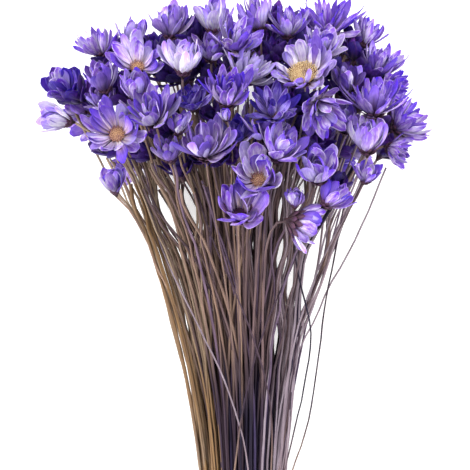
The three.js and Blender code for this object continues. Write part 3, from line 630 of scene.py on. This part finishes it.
# Two directions square to a path at each of its points, carried along it without a twist
def squareTo(centres):
    tangents = np.gradient(centres, axis=0)
    tangents /= np.linalg.norm(tangents, axis=1, keepdims=True)
    side = np.cross(tangents[0], (0.3, 0.2, 1.0))
    side /= np.linalg.norm(side)
    for tangent in tangents:
        side = side - tangent * side.dot(tangent)
        side /= np.linalg.norm(side)
        yield side, np.cross(tangent, side)


def ringsAlong(centres, radii, sides):
    turn = np.arange(sides) / sides * math.tau
    across, up = np.cos(turn)[:, None], np.sin(turn)[:, None]
    return np.array([centre + radius * (across * side + up * other)
                     for centre, radius, (side, other) in zip(centres, radii, squareTo(centres))])


def tubeFaces(rings, sides, first=0):
    starts = [first + i * sides for i in range(rings - 1)]
    return [(start + k, start + (k + 1) % sides, start + sides + (k + 1) % sides, start + sides + k)
            for start in starts for k in range(sides)]


# Where the sides of a tube and its two flat ends lie on its flat map
tubeMap = {"left": 0.03, "low": 0.05, "reach": 0.9, "caps": ((0.5, 0.01), (0.5, 0.97)), "capRadius": 0.01}


# Adds a closed tube through rings of points, with flat ends
def addTube(skin, rings, chance, slot=0, capSlot=None):
    left, low, reach = tubeMap["left"], tubeMap["low"], tubeMap["reach"]
    capRadius = tubeMap["capRadius"]
    count, sides = rings.shape[:2]
    faces = tubeFaces(count, sides)
    faces += [range(sides)[::-1], range((count - 1) * sides, count * sides)]
    spots = []
    for i in range(count - 1):
        v, nextV = low + reach * i / (count - 1), low + reach * (i + 1) / (count - 1)
        for k in range(sides):
            u, nextU = left + reach * k / sides, left + reach * (k + 1) / sides
            spots += [(u, v), (nextU, v), (nextU, nextV), (u, nextV)]
    for u, v in tubeMap["caps"]:
        for turn in (k / sides * math.tau for k in range(sides)):
            spots.append((u + capRadius * math.cos(turn), v + capRadius * math.sin(turn)))
    flat = np.arange(len(faces)) >= len(faces) - 2
    along = np.repeat(np.linspace(0, 1, count), sides)
    around = np.tile(np.arange(sides) / sides, count)
    place = np.column_stack([around, along, np.full(count * sides, chance), np.ones(count * sides)])
    slots = np.where(flat, slot if capSlot is None else capSlot, slot)
    skin.add(rings.reshape(-1, 3), faces, place, np.array(spots), slots, flat)


def colourOf(hexed):
    values = [int(hexed[i:i + 2], 16) / 255 for i in (0, 2, 4)]
    return (*(v / 12.92 if v <= 0.04045 else ((v + 0.055) / 1.055) ** 2.4 for v in values), 1)


# The nodes of a material or a group. What they are fed is a number, a hex colour or a socket.
class Nodes:
    def __init__(self, tree):
        self.tree = tree

    def feed(self, node, values):
        for name, value in values.items():
            if isinstance(value, bpy.types.NodeSocket):
                self.tree.links.new(value, node.inputs[name])
            else:
                node.inputs[name].default_value = colourOf(value) if isinstance(value, str) else value
        return node.outputs

    def add(self, kind, values):
        return self.feed(self.tree.nodes.new(kind), values)

    def math(self, operation, first, second=0.5):
        node = self.tree.nodes.new("ShaderNodeMath")
        node.operation = operation
        return self.feed(node, {0: first, 1: second})[0]

    def times(self, first, second):
        return self.math("MULTIPLY", first, second)

    def mix(self, factor, first, second, blend="MIX"):
        node = self.tree.nodes.new("ShaderNodeMix")
        node.data_type = "RGBA"
        node.blend_type = blend
        return self.feed(node, {0: factor, 6: first, 7: second})[2]

    def fade(self, value, low, high):
        node = self.tree.nodes.new("ShaderNodeMapRange")
        node.interpolation_type = "SMOOTHSTEP"
        return self.feed(node, {"Value": value, "From Min": low, "From Max": high})["Result"]

    def reach(self, value, low, high):
        return self.add("ShaderNodeMapRange", {"Value": value, "To Min": low, "To Max": high})["Result"]

    def noise(self, vector, scale, detail, rough=0.5):
        return self.add("ShaderNodeTexNoise", {"Vector": vector, "Scale": scale, "Detail": detail,
                                               "Roughness": rough})["Fac"]


def newGroup(name, inputs, outputs):
    group = bpy.data.node_groups.new(name, "ShaderNodeTree")
    for label, value in inputs.items():
        kind = "NodeSocketVector" if isinstance(value, tuple) else "NodeSocketFloat"
        group.interface.new_socket(label, in_out="INPUT", socket_type=kind).default_value = value
    for label in outputs:
        group.interface.new_socket(label, in_out="OUTPUT", socket_type="NodeSocketFloat")
    return Nodes(group), group.nodes.new("NodeGroupInput").outputs, group.nodes.new("NodeGroupOutput")


# Lengthwise lines on a petal, bract or stem: place is across, along and a chance value
def makeLengthwiseLines():
    nodes, given, out = newGroup("lengthwiseLines", {"Place": (0, 0, 0), "Lines": 26.0, "Stretch": 1.6,
                                                     "Offset": 9.0}, ("Mask", "Height"))
    place = nodes.add("ShaderNodeSeparateXYZ", {0: given["Place"]})
    scaled = [nodes.times(place[k], given[name]) for k, name in enumerate(("Lines", "Stretch", "Offset"))]
    joined = nodes.add("ShaderNodeCombineXYZ", dict(enumerate(scaled)))
    noise = nodes.noise(joined[0], 1.0, 3, 0.6)
    nodes.feed(out, {"Mask": nodes.fade(noise, 0.36, 0.64), "Height": noise})
    return nodes.tree


# Blotches of uneven dye and drying that run over a whole piece
def makeDriedBlotches():
    nodes, given, out = newGroup("driedBlotches", {"Scale": 160.0, "Chance": 0.0}, ("Mask",))
    spot = nodes.add("ShaderNodeTexCoord", {})["Object"]
    moved = nodes.add("ShaderNodeVectorMath", {0: spot, 1: given["Chance"]})[0]
    nodes.feed(out, {"Mask": nodes.fade(nodes.noise(moved, given["Scale"], 3), 0.38, 0.66)})
    return nodes.tree


lengthwiseLines = makeLengthwiseLines()
driedBlotches = makeDriedBlotches()


# A material in the making, with what the mesh's place says as sockets
class Finish(Nodes):
    def __init__(self, name, roughness):
        self.material = bpy.data.materials.new(name)
        self.material.use_nodes = True
        super().__init__(self.material.node_tree)
        self.shader = self.tree.nodes["Principled BSDF"]
        self.feed(self.shader, {"Roughness": roughness, "Specular IOR Level": 0.25})
        given = self.tree.nodes.new("ShaderNodeAttribute")
        given.attribute_name = "place"
        self.place, self.inner = given.outputs["Vector"], given.outputs["Alpha"]
        split = self.add("ShaderNodeSeparateColor", {0: given.outputs["Color"]})
        self.across, self.along, self.chance = split

    def group(self, group, values):
        node = self.tree.nodes.new("ShaderNodeGroup")
        node.node_tree = group
        return self.feed(node, values)

    def lines(self, count, stretch, offset):
        return self.group(lengthwiseLines, {"Place": self.place, "Lines": count, "Stretch": stretch,
                                            "Offset": offset})

    def blotches(self, scale):
        return self.group(driedBlotches, {"Scale": scale, "Chance": self.chance})["Mask"]

    def done(self, colour, height, strength, distance):
        bump = self.add("ShaderNodeBump", {"Height": height, "Strength": strength, "Distance": distance})
        self.feed(self.shader, {"Base Color": colour, "Normal": bump[0]})
        return self.material


# Petal colours of each tone: the root inside and outside, the body, the tip, the veins, pale patches. The
# darker root outside is partly the dried colour and partly painted shade under the bloom; the pale patches
# are partly faded dye and partly painted highlight; the near-black inner tone is painted shade on the blooms
# hidden inside the dome.
petalTones = {
    "violet": ("d6bab0", "4e2c6c", "9a72de", "4c22b8", "4c24ac", "e8def8"),
    "bright": ("ecd0b0", "583478", "9066e8", "4214be", "461cb2", "dccaf8"),
    "deep": ("a08cc8", "34205a", "5c3cc2", "2c1296", "281070", "b4aaf6"),
    "dusky": ("a08088", "3e2450", "8062b8", "4c2c9c", "40247e", "c4b6dc"),
    "lilac": ("c8a296", "50305e", "a88cdc", "6840c0", "6444a8", "e4daf2"),
    "pale": ("e0ccba", "644670", "cabef0", "805ad8", "8060c8", "faf8fe"),
    "white": ("ecdcc8", "806080", "e4dcf6", "9c80e6", "a48ede", "fdfcff"),
    # The inner tone is painted shade: the blooms hidden inside the dome are coloured near black.
    "inner": ("2a1838", "1a0e2c", "3c2280", "28106c", "1a0a3a", "482c88"),
}
# The second tone of a bloom and the share of its petals that have it
secondTones = {"violet": ("pale", 0.26), "bright": ("lilac", 0.22), "deep": ("pale", 0.1),
               "dusky": ("pale", 0.25), "lilac": ("pale", 0.25), "pale": ("violet", 0.22),
               "white": ("pale", 0.35), "inner": ("inner", 0)}
# How strong each colour is, over which part of the petal (From) and on which petals (On) it fades in.
# Lines: how many lie across, how often they change along and a shift between petals.
# The pale patches are partly faded dye and partly painted highlight.
petalFinish = {"roughness": 0.55, "veinLines": (14.0, 1.5, 13.0), "patchLines": (4.0, 2.6, 31.0),
               "rootFrom": (0.06, 0.6), "tipFrom": (0.45, 1.0), "tipOn": (-0.35, 0.9), "veins": 0.45,
               "patchesAndHighlights": 0.95, "patchFrom": (1.0, 0.7), "patchOn": (0.0, 0.9),
               "brown": "6a4a62", "dried": 0.75, "driedAcross": (0.2, 0.0), "driedFrom": (0.75, 0.1),
               "driedOn": (0.55, 0.0), "rim": 0.5, "rimAcross": (0.34, 0.5), "paleRimOn": (0.35, 0.9),
               "deepRimOn": (0.6, 0.1), "light": (0.5136, 1.228), "hue": (0.4936, 0.516),
               "blotches": 0.25, "glow": 0.25, "glowTint": (0.7, 0.45, 1.0), "glowDepth": 0.0015}


def petalMaterial(tone):
    look = petalFinish
    root, back, body, tip, vein, pale = petalTones[tone]
    mat = Finish("petal_" + tone, look["roughness"])
    second = mat.math("FRACT", mat.times(mat.chance, 7.31))    # more chance values from the first
    third = mat.math("FRACT", mat.times(mat.chance, 23.7))
    # Towards the root: cream on the side facing the heart, and the darker back colour outside, which is
    # partly the dried colour and partly painted shade under the bloom.
    colour = mat.mix(mat.fade(mat.along, *look["rootFrom"]), mat.mix(mat.inner, back, root), body)
    tips = mat.times(mat.fade(mat.along, *look["tipFrom"]), mat.fade(third, *look["tipOn"]))
    colour = mat.mix(tips, colour, tip)
    # Pale lengthwise patches, partly faded dye and partly painted highlight.
    patchAndHighlight = mat.times(mat.lines(*look["patchLines"])["Mask"], mat.fade(second, *look["patchOn"]))
    patchAndHighlight = mat.times(patchAndHighlight, mat.fade(mat.along, *look["patchFrom"]))
    colour = mat.mix(mat.times(patchAndHighlight, look["patchesAndHighlights"]), colour, pale)
    lines = mat.lines(*look["veinLines"])
    colour = mat.mix(mat.times(lines["Mask"], look["veins"]), colour, vein)
    edge = mat.math("ABSOLUTE", mat.math("SUBTRACT", mat.across, 0.5))
    dried = mat.times(mat.fade(edge, *look["driedAcross"]), mat.fade(mat.along, *look["driedFrom"]))
    dried = mat.times(dried, mat.fade(second, *look["driedOn"]))
    colour = mat.mix(mat.times(dried, look["dried"]), colour, look["brown"])
    rim = mat.fade(edge, *look["rimAcross"])
    for on, rimTone in ((look["paleRimOn"], pale), (look["deepRimOn"], tip)):
        some = mat.times(rim, mat.fade(second, *on))
        colour = mat.mix(mat.times(some, look["rim"]), colour, rimTone)
    varied = mat.add("ShaderNodeHueSaturation", {"Hue": mat.reach(second, *look["hue"]), "Color": colour,
                                                 "Value": mat.reach(third, *look["light"])})
    colour = mat.mix(mat.times(mat.blotches(210.0), look["blotches"]), varied[0], vein, "MULTIPLY")
    mat.feed(mat.shader, {"Subsurface Weight": look["glow"], "Subsurface Radius": look["glowTint"],
                          "Subsurface Scale": look["glowDepth"]})
    return mat.done(colour, lines["Height"], 0.55, 0.0005)


def bractMaterial():
    mat = Finish("bract_brown", 0.7)
    lines = mat.lines(9.0, 1.5, 17.0)
    colour = mat.mix(mat.fade(mat.along, 0.2, 1.0), "1e1222", "4e2c50")
    colour = mat.mix(mat.times(lines["Mask"], 0.4), colour, "6a4a44")
    return mat.done(colour, lines["Height"], 0.4, 0.0003)


# Floret colours: at the foot, at the tip, and stained by distance from the heart's middle
floretTones = {
    "tan": {"foot": "a87c54", "tip": "e6d0a0", "stained": "5c3456", "from": 0.42, "to": 0.14},
    "russet": {"foot": "8c5c4c", "tip": "d4ac84", "stained": "7a4c6c", "from": 0.4, "to": 1.15},
}


def floretMaterial(tone):
    look = floretTones[tone]
    mat = Finish("floret_" + tone, 0.8)
    blotch = mat.blotches(900.0)
    colour = mat.mix(mat.along, look["foot"], look["tip"])
    stain = mat.fade(mat.across, look["from"], look["to"])
    colour = mat.mix(mat.times(stain, 0.85), colour, look["stained"])
    colour = mat.mix(mat.times(blotch, 0.3), colour, "a8744c")
    return mat.done(colour, blotch, 0.3, 0.0003)


# Stem colours: above and towards the cut ends, of pale fibres in both, and of the darker stems
stemTones = {
    "straw": ("94806c", "7a5c3c", "a08c78", "8e7250", "5a453c"),
    "brown": ("907464", "261a2a", "9c8474", "463446", "46343c"),
    "dark": ("6e5758", "100a20", "7c6868", "261e38", "201428"),
    "mauve": ("8c7a82", "8a7c88", "a4969e", "a2969f", "5e4c56"),
    "dyed": ("745c6c", "2a2040", "8c7890", "50446c", "281c3a"),
}
stemFinish = {"roughness": 0.66, "upperFrom": (0.45, 0.65), "fibres": 0.42, "blotches": 0.38,
              "darker": 0.56, "darkerOn": (0.45, 1.0)}


def stemMaterial(tone):
    upper, lower, upperFibre, lowerFibre, deep = stemTones[tone]
    look = stemFinish
    mat = Finish("stem_" + tone, look["roughness"])
    lines = mat.lines(6.0, 14.0, 40.0)
    risen = mat.fade(mat.along, *look["upperFrom"])
    darker = mat.times(mat.fade(mat.chance, *look["darkerOn"]), look["darker"])
    colour = mat.mix(darker, mat.mix(risen, lower, upper), deep)
    fibre = mat.mix(risen, lowerFibre, upperFibre)
    colour = mat.mix(mat.times(lines["Mask"], look["fibres"]), colour, fibre)
    colour = mat.mix(mat.times(mat.blotches(70.0), look["blotches"]), colour, deep)
    return mat.done(colour, lines["Height"], 0.5, 0.0003)


def pithMaterial():
    mat = Finish("stem_pith", 0.85)
    blotch = mat.blotches(1400.0)
    colour = mat.mix(mat.chance, "b09c7c", "8c7860")
    colour = mat.mix(mat.times(blotch, 0.6), colour, "5e4a44")
    return mat.done(colour, blotch, 0.4, 0.0002)


def twineMaterial():
    mat = Finish("twine_fibre", 0.85)
    lines = mat.lines(8.0, 240.0, 20.0)
    colour = mat.mix(lines["Mask"], "8f7048", "c9aa78")
    colour = mat.mix(mat.times(mat.blotches(300.0), 0.4), colour, "6f5436")
    return mat.done(colour, lines["Height"], 0.6, 0.0004)


# Calyx: a closed cup under the petals with two rows of pointed bracts that hug it
bractForm = {"rows": 2, "count": 9, "length": 4.6, "width": 2.4, "opens": 26, "under": 16, "most": 78,
             "cupSides": 10, "along": 5, "across": 3, "varyLength": 0.12, "varyOpens": 6, "discWider": 1.15,
             "rowShorter": 0.25, "rowOpens": 6, "plainRadius": 2.6, "out": 0.8, "rowInward": 0.28,
             "down": 0.36, "rowDown": 0.3}
bractShape = {"curl": 0.5, "cup": 0.5, "roll": 0.12, "blunt": 1.5, "waves": 4,
              **dict.fromkeys(("flick", "twist", "bend", "phase", "ripple", "fold", "uneven", "ragged"), 0)}


def addCalyx(skin, bloom):
    form = bractForm
    size = bloom["size"]
    radius = hubRadius(bloom)
    long = bloom.get("bracts", 1)
    depth = hub["depth"] * size * long
    opens = min(max(form["opens"], bloom["opens"] + form["under"]), form["most"])
    matrix = frameOf(bloom)
    heights = [-depth, -depth * 0.8, -depth * 0.45, -depth * 0.12, hub["rise"] * 1.2, hub["rise"] * 1.8]
    widths = [0.55, 0.8, radius * 0.72, radius, radius * 0.96, radius * 0.5]
    turn = np.arange(form["cupSides"]) / form["cupSides"] * math.tau
    rings = np.array([[(w * math.cos(a), w * math.sin(a), h) for a in turn] for h, w in zip(heights, widths)])
    addTube(skin, placed(rings, matrix), 0.5, 1)
    if bloom["group"] == "hidden":
        return
    draw = makeDraw(bloom["seed"] + 5)
    along, across = np.linspace(0, 1, form["along"]), np.linspace(-1, 1, form["across"])
    for row, k in product(range(form["rows"]), range(form["count"])):
        scale = 1 - row * form["rowShorter"]
        root = opens + row * form["rowOpens"] + spread(draw, form["varyOpens"])
        bract = {**bractShape, "root": math.radians(root),
                 "length": form["length"] * long * size * scale * (1 + spread(draw, form["varyLength"])),
                 "width": form["width"] * size * (form["discWider"] if bloom.get("disc") else 1)
                 * max(1, radius / form["plainRadius"]),
                 "radius": radius * (form["out"] - row * form["rowInward"]),
                 "height": -depth * (form["down"] + row * form["rowDown"]),
                 "turn": (k + row * 0.5) / form["count"] * math.tau, "chance": draw()}
        addSheet(skin, bract, along, across, matrix, 1, (1.0, 1.0))


# Florets in the middle of a bloom, in a sunflower's spiral, standing on the receptacle. mound: its
# widths and heights. levels: a floret's heights and widths. Those at the heart of a wide disc are short.
floretForm = {"apart": 0.54, "height": 1.5, "radius": 0.27, "dome": 1.0, "sides": 5, "heart": (0.22, -0.16),
              "crowded": 1.25, "spiral": 137.508, "moundSides": 12, "varyHeight": (0.75, 1.2), "lean": 0.15,
              "mound": ((0.7, -0.9), (0.98, -0.2), (0.94, 0.1), (0.6, 0.62), (0.2, 0.94)),
              "levels": ((-0.6, 0.5), (0.45, 0.75), (0.8, 1.15), (1.0, 0.7)),
              "wideDisc": 5, "shortWithin": 0.42, "short": 0.65}


def addFlorets(skin, bloom, radius, slot, height=0.0):
    form = floretForm
    matrix = frameOf(bloom)
    draw = makeDraw(bloom["seed"] + 11)
    count = int((radius / form["apart"]) ** 2 * form["crowded"]) + 3
    around = np.arange(form["moundSides"]) / form["moundSides"] * math.tau
    mound = np.array([[(w * radius * math.cos(a), w * radius * math.sin(a), height + h * form["dome"])
                       for a in around] for w, h in form["mound"]])
    addTube(skin, placed(mound, matrix), 0.5, slot)
    turn = np.arange(form["sides"]) / form["sides"] * math.tau
    for k in range(count):
        out = math.sqrt((k + 0.5) / count)
        angle = k * math.radians(form["spiral"])
        short = form["short"] if radius > form["wideDisc"] and out < form["shortWithin"] else 1
        tall = form["height"] * between(draw, *form["varyHeight"]) * short
        lean = out * 0.5 + spread(draw, form["lean"])
        cosine, sine = math.cos(angle), math.sin(angle)
        foot = np.array((out * radius * cosine, out * radius * sine, height + form["dome"] * (1 - out * out)))
        way = np.array((math.sin(lean) * cosine, math.sin(lean) * sine, math.cos(lean)))
        side = np.cross(way, (0.2, 1, 0.1))
        side /= np.linalg.norm(side)
        ring = np.cos(turn)[:, None] * side + np.sin(turn)[:, None] * np.cross(way, side)
        rings = np.array([foot + way * tall * level + ring * form["radius"] * wide
                          for level, wide in form["levels"]])
        addTube(skin, placed(rings, matrix), draw(), slot)
        aside = np.array((cosine, sine)) * out - form["heart"]
        skin.places[-1][:, 0] = min(float(np.linalg.norm(aside)), 1)


def makeBlooms():
    seen = [viewedBloom(row, index) for index, row in enumerate(blooms)]
    under = [bloom for index, middle in enumerate(trios) for bloom in trioBlooms(middle, index)]
    for index in range(trioForm["resting"]):
        layDown(under[index * 3:index * 3 + 3])
    return seen, under, hiddenBlooms(seen + under)


def runsOf(seen, under, inside):
    everyBloom = seen + under + inside
    hearts = [bloom["heart"] for bloom in everyBloom]
    draw = makeDraw(stemForm["seed"])
    runs = []
    for index, bloom in enumerate(everyBloom):
        end = bloom["heart"] - bloom["axis"] * (hub["depth"] * bloom["size"] - 0.2)
        wander = stemForm["innerWander" if bloom["group"] == "hidden" else "wander"]
        others = hearts[:index] + hearts[index + 1:]
        runs.append(stemRun(end, bloom["axis"], draw, others, wander))
    draw = makeDraw(extraStems["seed"])
    for index in range(extraStems["count"]):
        away = between(draw, *extraStems["away"])
        turn = draw() * math.tau
        end = Vector((dome["x"] + math.cos(turn) * dome["reachX"] * away,
                      dome["y"] + spread(draw, extraStems["along"]),
                      dome["z"] + math.sin(turn) * dome["above"] * away * extraStems["flatter"]))
        axis = Vector((math.cos(turn) * 0.5, 1, math.sin(turn) * 0.4)).normalized()
        runs.append(stemRun(end, axis, draw, hearts, extraStems["wander"], drawnIn=True))
    draw = makeDraw(edgeStems["seed"])
    for index in range(edgeStems["count"]):
        side = 1 if index % 2 else -1
        turn = math.radians(between(draw, *edgeStems["turns"]))
        x, y, z = (between(draw, *edgeStems[name]) for name in "xyz")
        end = Vector((side * x, y, z))
        axis = Vector((end.x / 90, 1, -0.2)).normalized()
        runs.append(stemRun(end, axis, draw, hearts, 0, (side * math.cos(turn), math.sin(turn)), True))
    return runs


# A stem's tone by its place across the waist, from -1 at the left to 1 at the right
stemPlaces = {"blurred": 0.24, "limits": ((-0.56, "straw"), (-0.12, "brown"), (0.4, "dark")),
              "dyedFrom": -0.7, "dyed": 0.12, "outFrom": 1.2, "darkOut": 0.4, "mauve": 0.78}


def toneOfStem(run, draw):
    rule = stemPlaces
    aside = run[2].x / waist["halfWidth"] + spread(draw, rule["blurred"])
    if aside > rule["dyedFrom"] and draw() < rule["dyed"]:
        return "dyed"
    for limit, tone in rule["limits"]:
        if aside < limit:
            return tone
    chance = draw()
    if aside > rule["outFrom"] and chance < rule["darkOut"]:
        return "dark"
    return "mauve" if chance < rule["mauve"] else "brown"


# Makes the stems, and a plainer tree of them that the petals are then bent clear of
def makeStems(runs):
    form = stemForm
    draw = makeDraw(form["seed"] + 2)
    skins = {tone: Skin() for tone in stemTones}
    points, faces = [], []
    for clump in clumps:
        for k in range(clump["count"]):
            off = Vector((spread(draw, clump["apart"]), 0, spread(draw, clump["apart"])))
            runs.append([Vector(point) + off * (0.4 if point[1] < 0 else 1) for point in clump["run"]])
    for index, run in enumerate(runs + strays):
        astray = index - len(runs)
        radius = between(draw, *form["radius"]) if astray < 0 else strayRadius
        centres = smoothRun(run, form["rings"])
        if astray < 0:
            centres = parted(centres)
        wobble = np.array([[spread(draw, form["wobble"]) for axis in range(3)] for ring in centres])
        wobble[[0, -1, -2]] = 0
        centres = centres + wobble
        radii = radius * np.interp(np.linspace(0, 1, len(centres)), *form["thickness"])
        radii = radii * np.array([between(draw, *form["uneven"]) for ring in centres])
        centres[:, 2] = np.maximum(centres[:, 2], radii + form["lift"])
        tone = toneOfStem(run, draw) if astray < 0 else strayTones[astray]
        addTube(skins[tone], ringsAlong(centres, radii, form["sides"]), draw(), 0, 1)
        plain = ringsAlong(centres[::2], radii[::2] * 0.6, 3)
        faces += tubeFaces(len(plain) - 1, 3, len(points))
        points += plain.reshape(-1, 3).tolist()
    pith = pithMaterial()
    for tone, skin in skins.items():
        piece = skin.build("stems_" + tone, [stemMaterial(tone), pith])
        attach(piece, "root")
        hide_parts("stems")
    return BVHTree.FromPolygons(points, faces)


# The tie: turns of three-ply twine round the stems and a knot with two loose ends on top. knot: across,
# along the bunch and above the turns.
tieForm = {"turns": 5, "pitch": 2.15, "outX": 1.9, "outZ": 1.25, "plyRadius": 0.62, "plyOff": 0.55,
           "plies": 3, "lay": 7.5, "sides": 7, "step": 0.7, "knotRise": 2.2, "stemRadius": 0.9,
           "stepsInTurn": 40, "pressed": 0.93, "least": 0.05}
knot = [(-12.5, -3.2, -3.9), (-9.5, -2.8, -1.9), (-6, -1.6, -0.4), (-2.6, 0.4, 0.2), (-0.4, 2.2, 1.0),
        (2.2, 1.6, 2.2), (2.4, -1.2, 2.0), (0, -2.4, 0.8), (-2.2, -0.8, 2.0), (-1.6, 1.4, 3.0),
        (1.2, 0.6, 2.6), (3.4, -0.2, 0.9), (6.4, 1.2, -0.2), (9.6, 2.6, -1.8), (12.6, 3.4, -3.8)]


def twineRings(path, phase):
    form = tieForm
    steps = np.linalg.norm(np.diff(np.array([tuple(point) for point in path]), axis=0), axis=1)
    centres = smoothRun(path, int(sum(steps) / form["step"]) + 4)
    gone = 0
    wound = []
    for i, (side, other) in enumerate(squareTo(centres)):
        if i:
            gone += np.linalg.norm(centres[i] - centres[i - 1])
        turn = phase + gone / form["lay"] * math.tau
        wound.append(centres[i] + form["plyOff"] * (math.cos(turn) * side + math.sin(turn) * other))
    return ringsAlong(np.array(wound), np.full(len(wound), form["plyRadius"]), form["sides"])


def makeTie():
    form = tieForm
    halfX = tied["halfWidth"] * bundleFill + form["stemRadius"] + form["outX"]
    halfZ = tied["halfDepth"] * bundleFill + form["stemRadius"] + form["outZ"]
    winding = []
    for i in range(form["turns"] * form["stepsInTurn"] + 1):
        turn = i / form["stepsInTurn"] * math.tau
        forward = (i / form["stepsInTurn"] - form["turns"] / 2) * form["pitch"] * form["pressed"]
        winding.append(Vector((math.sin(turn) * halfX, tied["y"] + forward,
                               tied["z"] + math.cos(turn) * halfZ)))
    top = tied["z"] + halfZ + form["knotRise"]
    tying = [Vector((x, tied["y"] + y, top + z)) for x, y, z in knot]
    skin = Skin()
    for path in (winding, tying):
        for ply in range(form["plies"]):
            rings = twineRings(path, ply / form["plies"] * math.tau)
            rings[:, :, 2] = np.maximum(rings[:, :, 2], form["least"])
            addTube(skin, rings, 0.2 + 0.3 * ply)
    piece = skin.build("tie_twine", [twineMaterial()])
    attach(piece, "root")
    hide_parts("tie")


# Settles the petals of the blooms that rest on the surface first, then those of all the others from
# the viewer down, and those of the blooms inside last
def settleBlooms(seen, under, inside, stemTree):
    order = [bloom for bloom in under if bloom["rests"]]
    others = seen + [bloom for bloom in under if not bloom["rests"]]
    order += sorted(others, key=lambda bloom: -bloom["heart"].z)
    done = []
    for bloom in order + inside:
        near = [tree for heart, tree in done if (heart - bloom["heart"]).length < petalReach]
        bloom["petals"] = settlePetals(bloom, near, stemTree)
        points, faces = [], []
        for petal in bloom["petals"]:
            faces += [[k + len(points) for k in face] for face in testFaces]
            points += testSheet(petal, frameOf(bloom)).tolist()
        if points:
            done.append((bloom["heart"], BVHTree.FromPolygons(points, faces)))


def dressBlooms(seen, under, inside):
    bracts = bractMaterial()
    florets = {tone: floretMaterial(tone) for tone in floretTones}
    papers = {tone: petalMaterial(tone) for tone in petalTones}
    pieces = {}
    for bloom in seen + under + inside:
        if bloom["petals"]:
            pieces.setdefault(bloom["piece"], []).append(bloom)
    for name, members in pieces.items():
        skin = Skin()
        for bloom in members:
            addPetals(skin, bloom)
            addCalyx(skin, bloom)
            if bloom["group"] == "viewed" and not bloom.get("disc") and not bloom.get("hollow"):
                addFlorets(skin, bloom, hubRadius(bloom) * 0.7, 2, hub["rise"] * 1.5)
        first = members[0]
        second = papers[secondTones[first["tone"]][0]]
        piece = skin.build(name, [papers[first["tone"]], bracts, florets["russet"], second])
        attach(piece, "root")
        if "node" in first:
            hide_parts(first["node"])
    for bloom in seen:
        if bloom.get("disc"):
            skin = Skin()
            addFlorets(skin, bloom, bloom["disc"] * 1.02, 0, hub["rise"] * 1.9)
            piece = skin.build(bloom["discPiece"], [florets[bloom.get("florets", "russet")]])
            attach(piece, "root")
            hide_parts(bloom["node"] + "_disc")


# Studio: a plain pale floor and soft light from above
studio = {"floor": 6.0, "floorColour": "f8f7f6", "floorRoughness": 0.9, "floorGlow": 0.3, "world": 0.6,
          "aim": (0, 0.05, 0.05)}
lamps = {
    "key": {"place": (-0.6, 0.7, 1.1), "size": 0.5, "power": 11.2},
    "left": {"place": (-0.7, -0.3, 1.1), "size": 0.6, "power": 6.2},
    "right": {"place": (0.8, 0.3, 1.1), "size": 0.6, "power": 8.6},
    "top": {"place": (0.1, 0.9, 1.2), "size": 0.8, "power": 5.2},
    "lowLeft": {"place": (-1.0, -0.1, 0.34), "size": 0.8, "power": 8.5},
    "lowRight": {"place": (1.0, 0.0, 0.34), "size": 0.8, "power": 8.5},
}


def makeStudio():
    mesh = bpy.data.meshes.new("floor")
    half = studio["floor"] / 2
    corners = [(-half, -half, 0), (half, -half, 0), (half, half, 0), (-half, half, 0)]
    mesh.from_pydata(corners, [], [(0, 1, 2, 3)])
    floor = bpy.data.objects.new("floor", mesh)
    bpy.context.scene.collection.objects.link(floor)
    material = bpy.data.materials.new("floor_pale")
    material.use_nodes = True
    nodes = Nodes(material.node_tree)
    nodes.feed(nodes.tree.nodes["Principled BSDF"], {
        "Base Color": studio["floorColour"], "Roughness": studio["floorRoughness"],
        "Emission Color": "ffffff", "Emission Strength": studio["floorGlow"]})
    mesh.materials.append(material)
    world = bpy.data.worlds.new("studio")
    world.use_nodes = True
    sky = Nodes(world.node_tree)
    sky.feed(sky.tree.nodes["Background"], {"Strength": studio["world"], "Color": "ffffff"})
    bpy.context.scene.world = world
    for name, lamp in lamps.items():
        data = bpy.data.lights.new(name, "AREA")
        data.size = lamp["size"]
        data.energy = lamp["power"]
        light = bpy.data.objects.new(name, data)
        light.location = lamp["place"]
        way = Vector(studio["aim"]) - Vector(lamp["place"])
        light.rotation_euler = way.to_track_quat("-Z", "Y").to_euler()
        bpy.context.scene.collection.objects.link(light)
    bpy.context.scene.view_settings.view_transform = "Standard"


makeCamera()
makeStudio()
print("stage: camera and studio are set")
seen, under, inside = makeBlooms()
print("stage: blooms placed", len(seen), len(under), len(inside))
stemTree = makeStems(runsOf(seen, under, inside))
print("stage: stems made")
makeTie()
print("stage: tie made")
settleBlooms(seen, under, inside, stemTree)
print("stage: petals settled")
dressBlooms(seen, under, inside)
print("stage: blooms dressed")
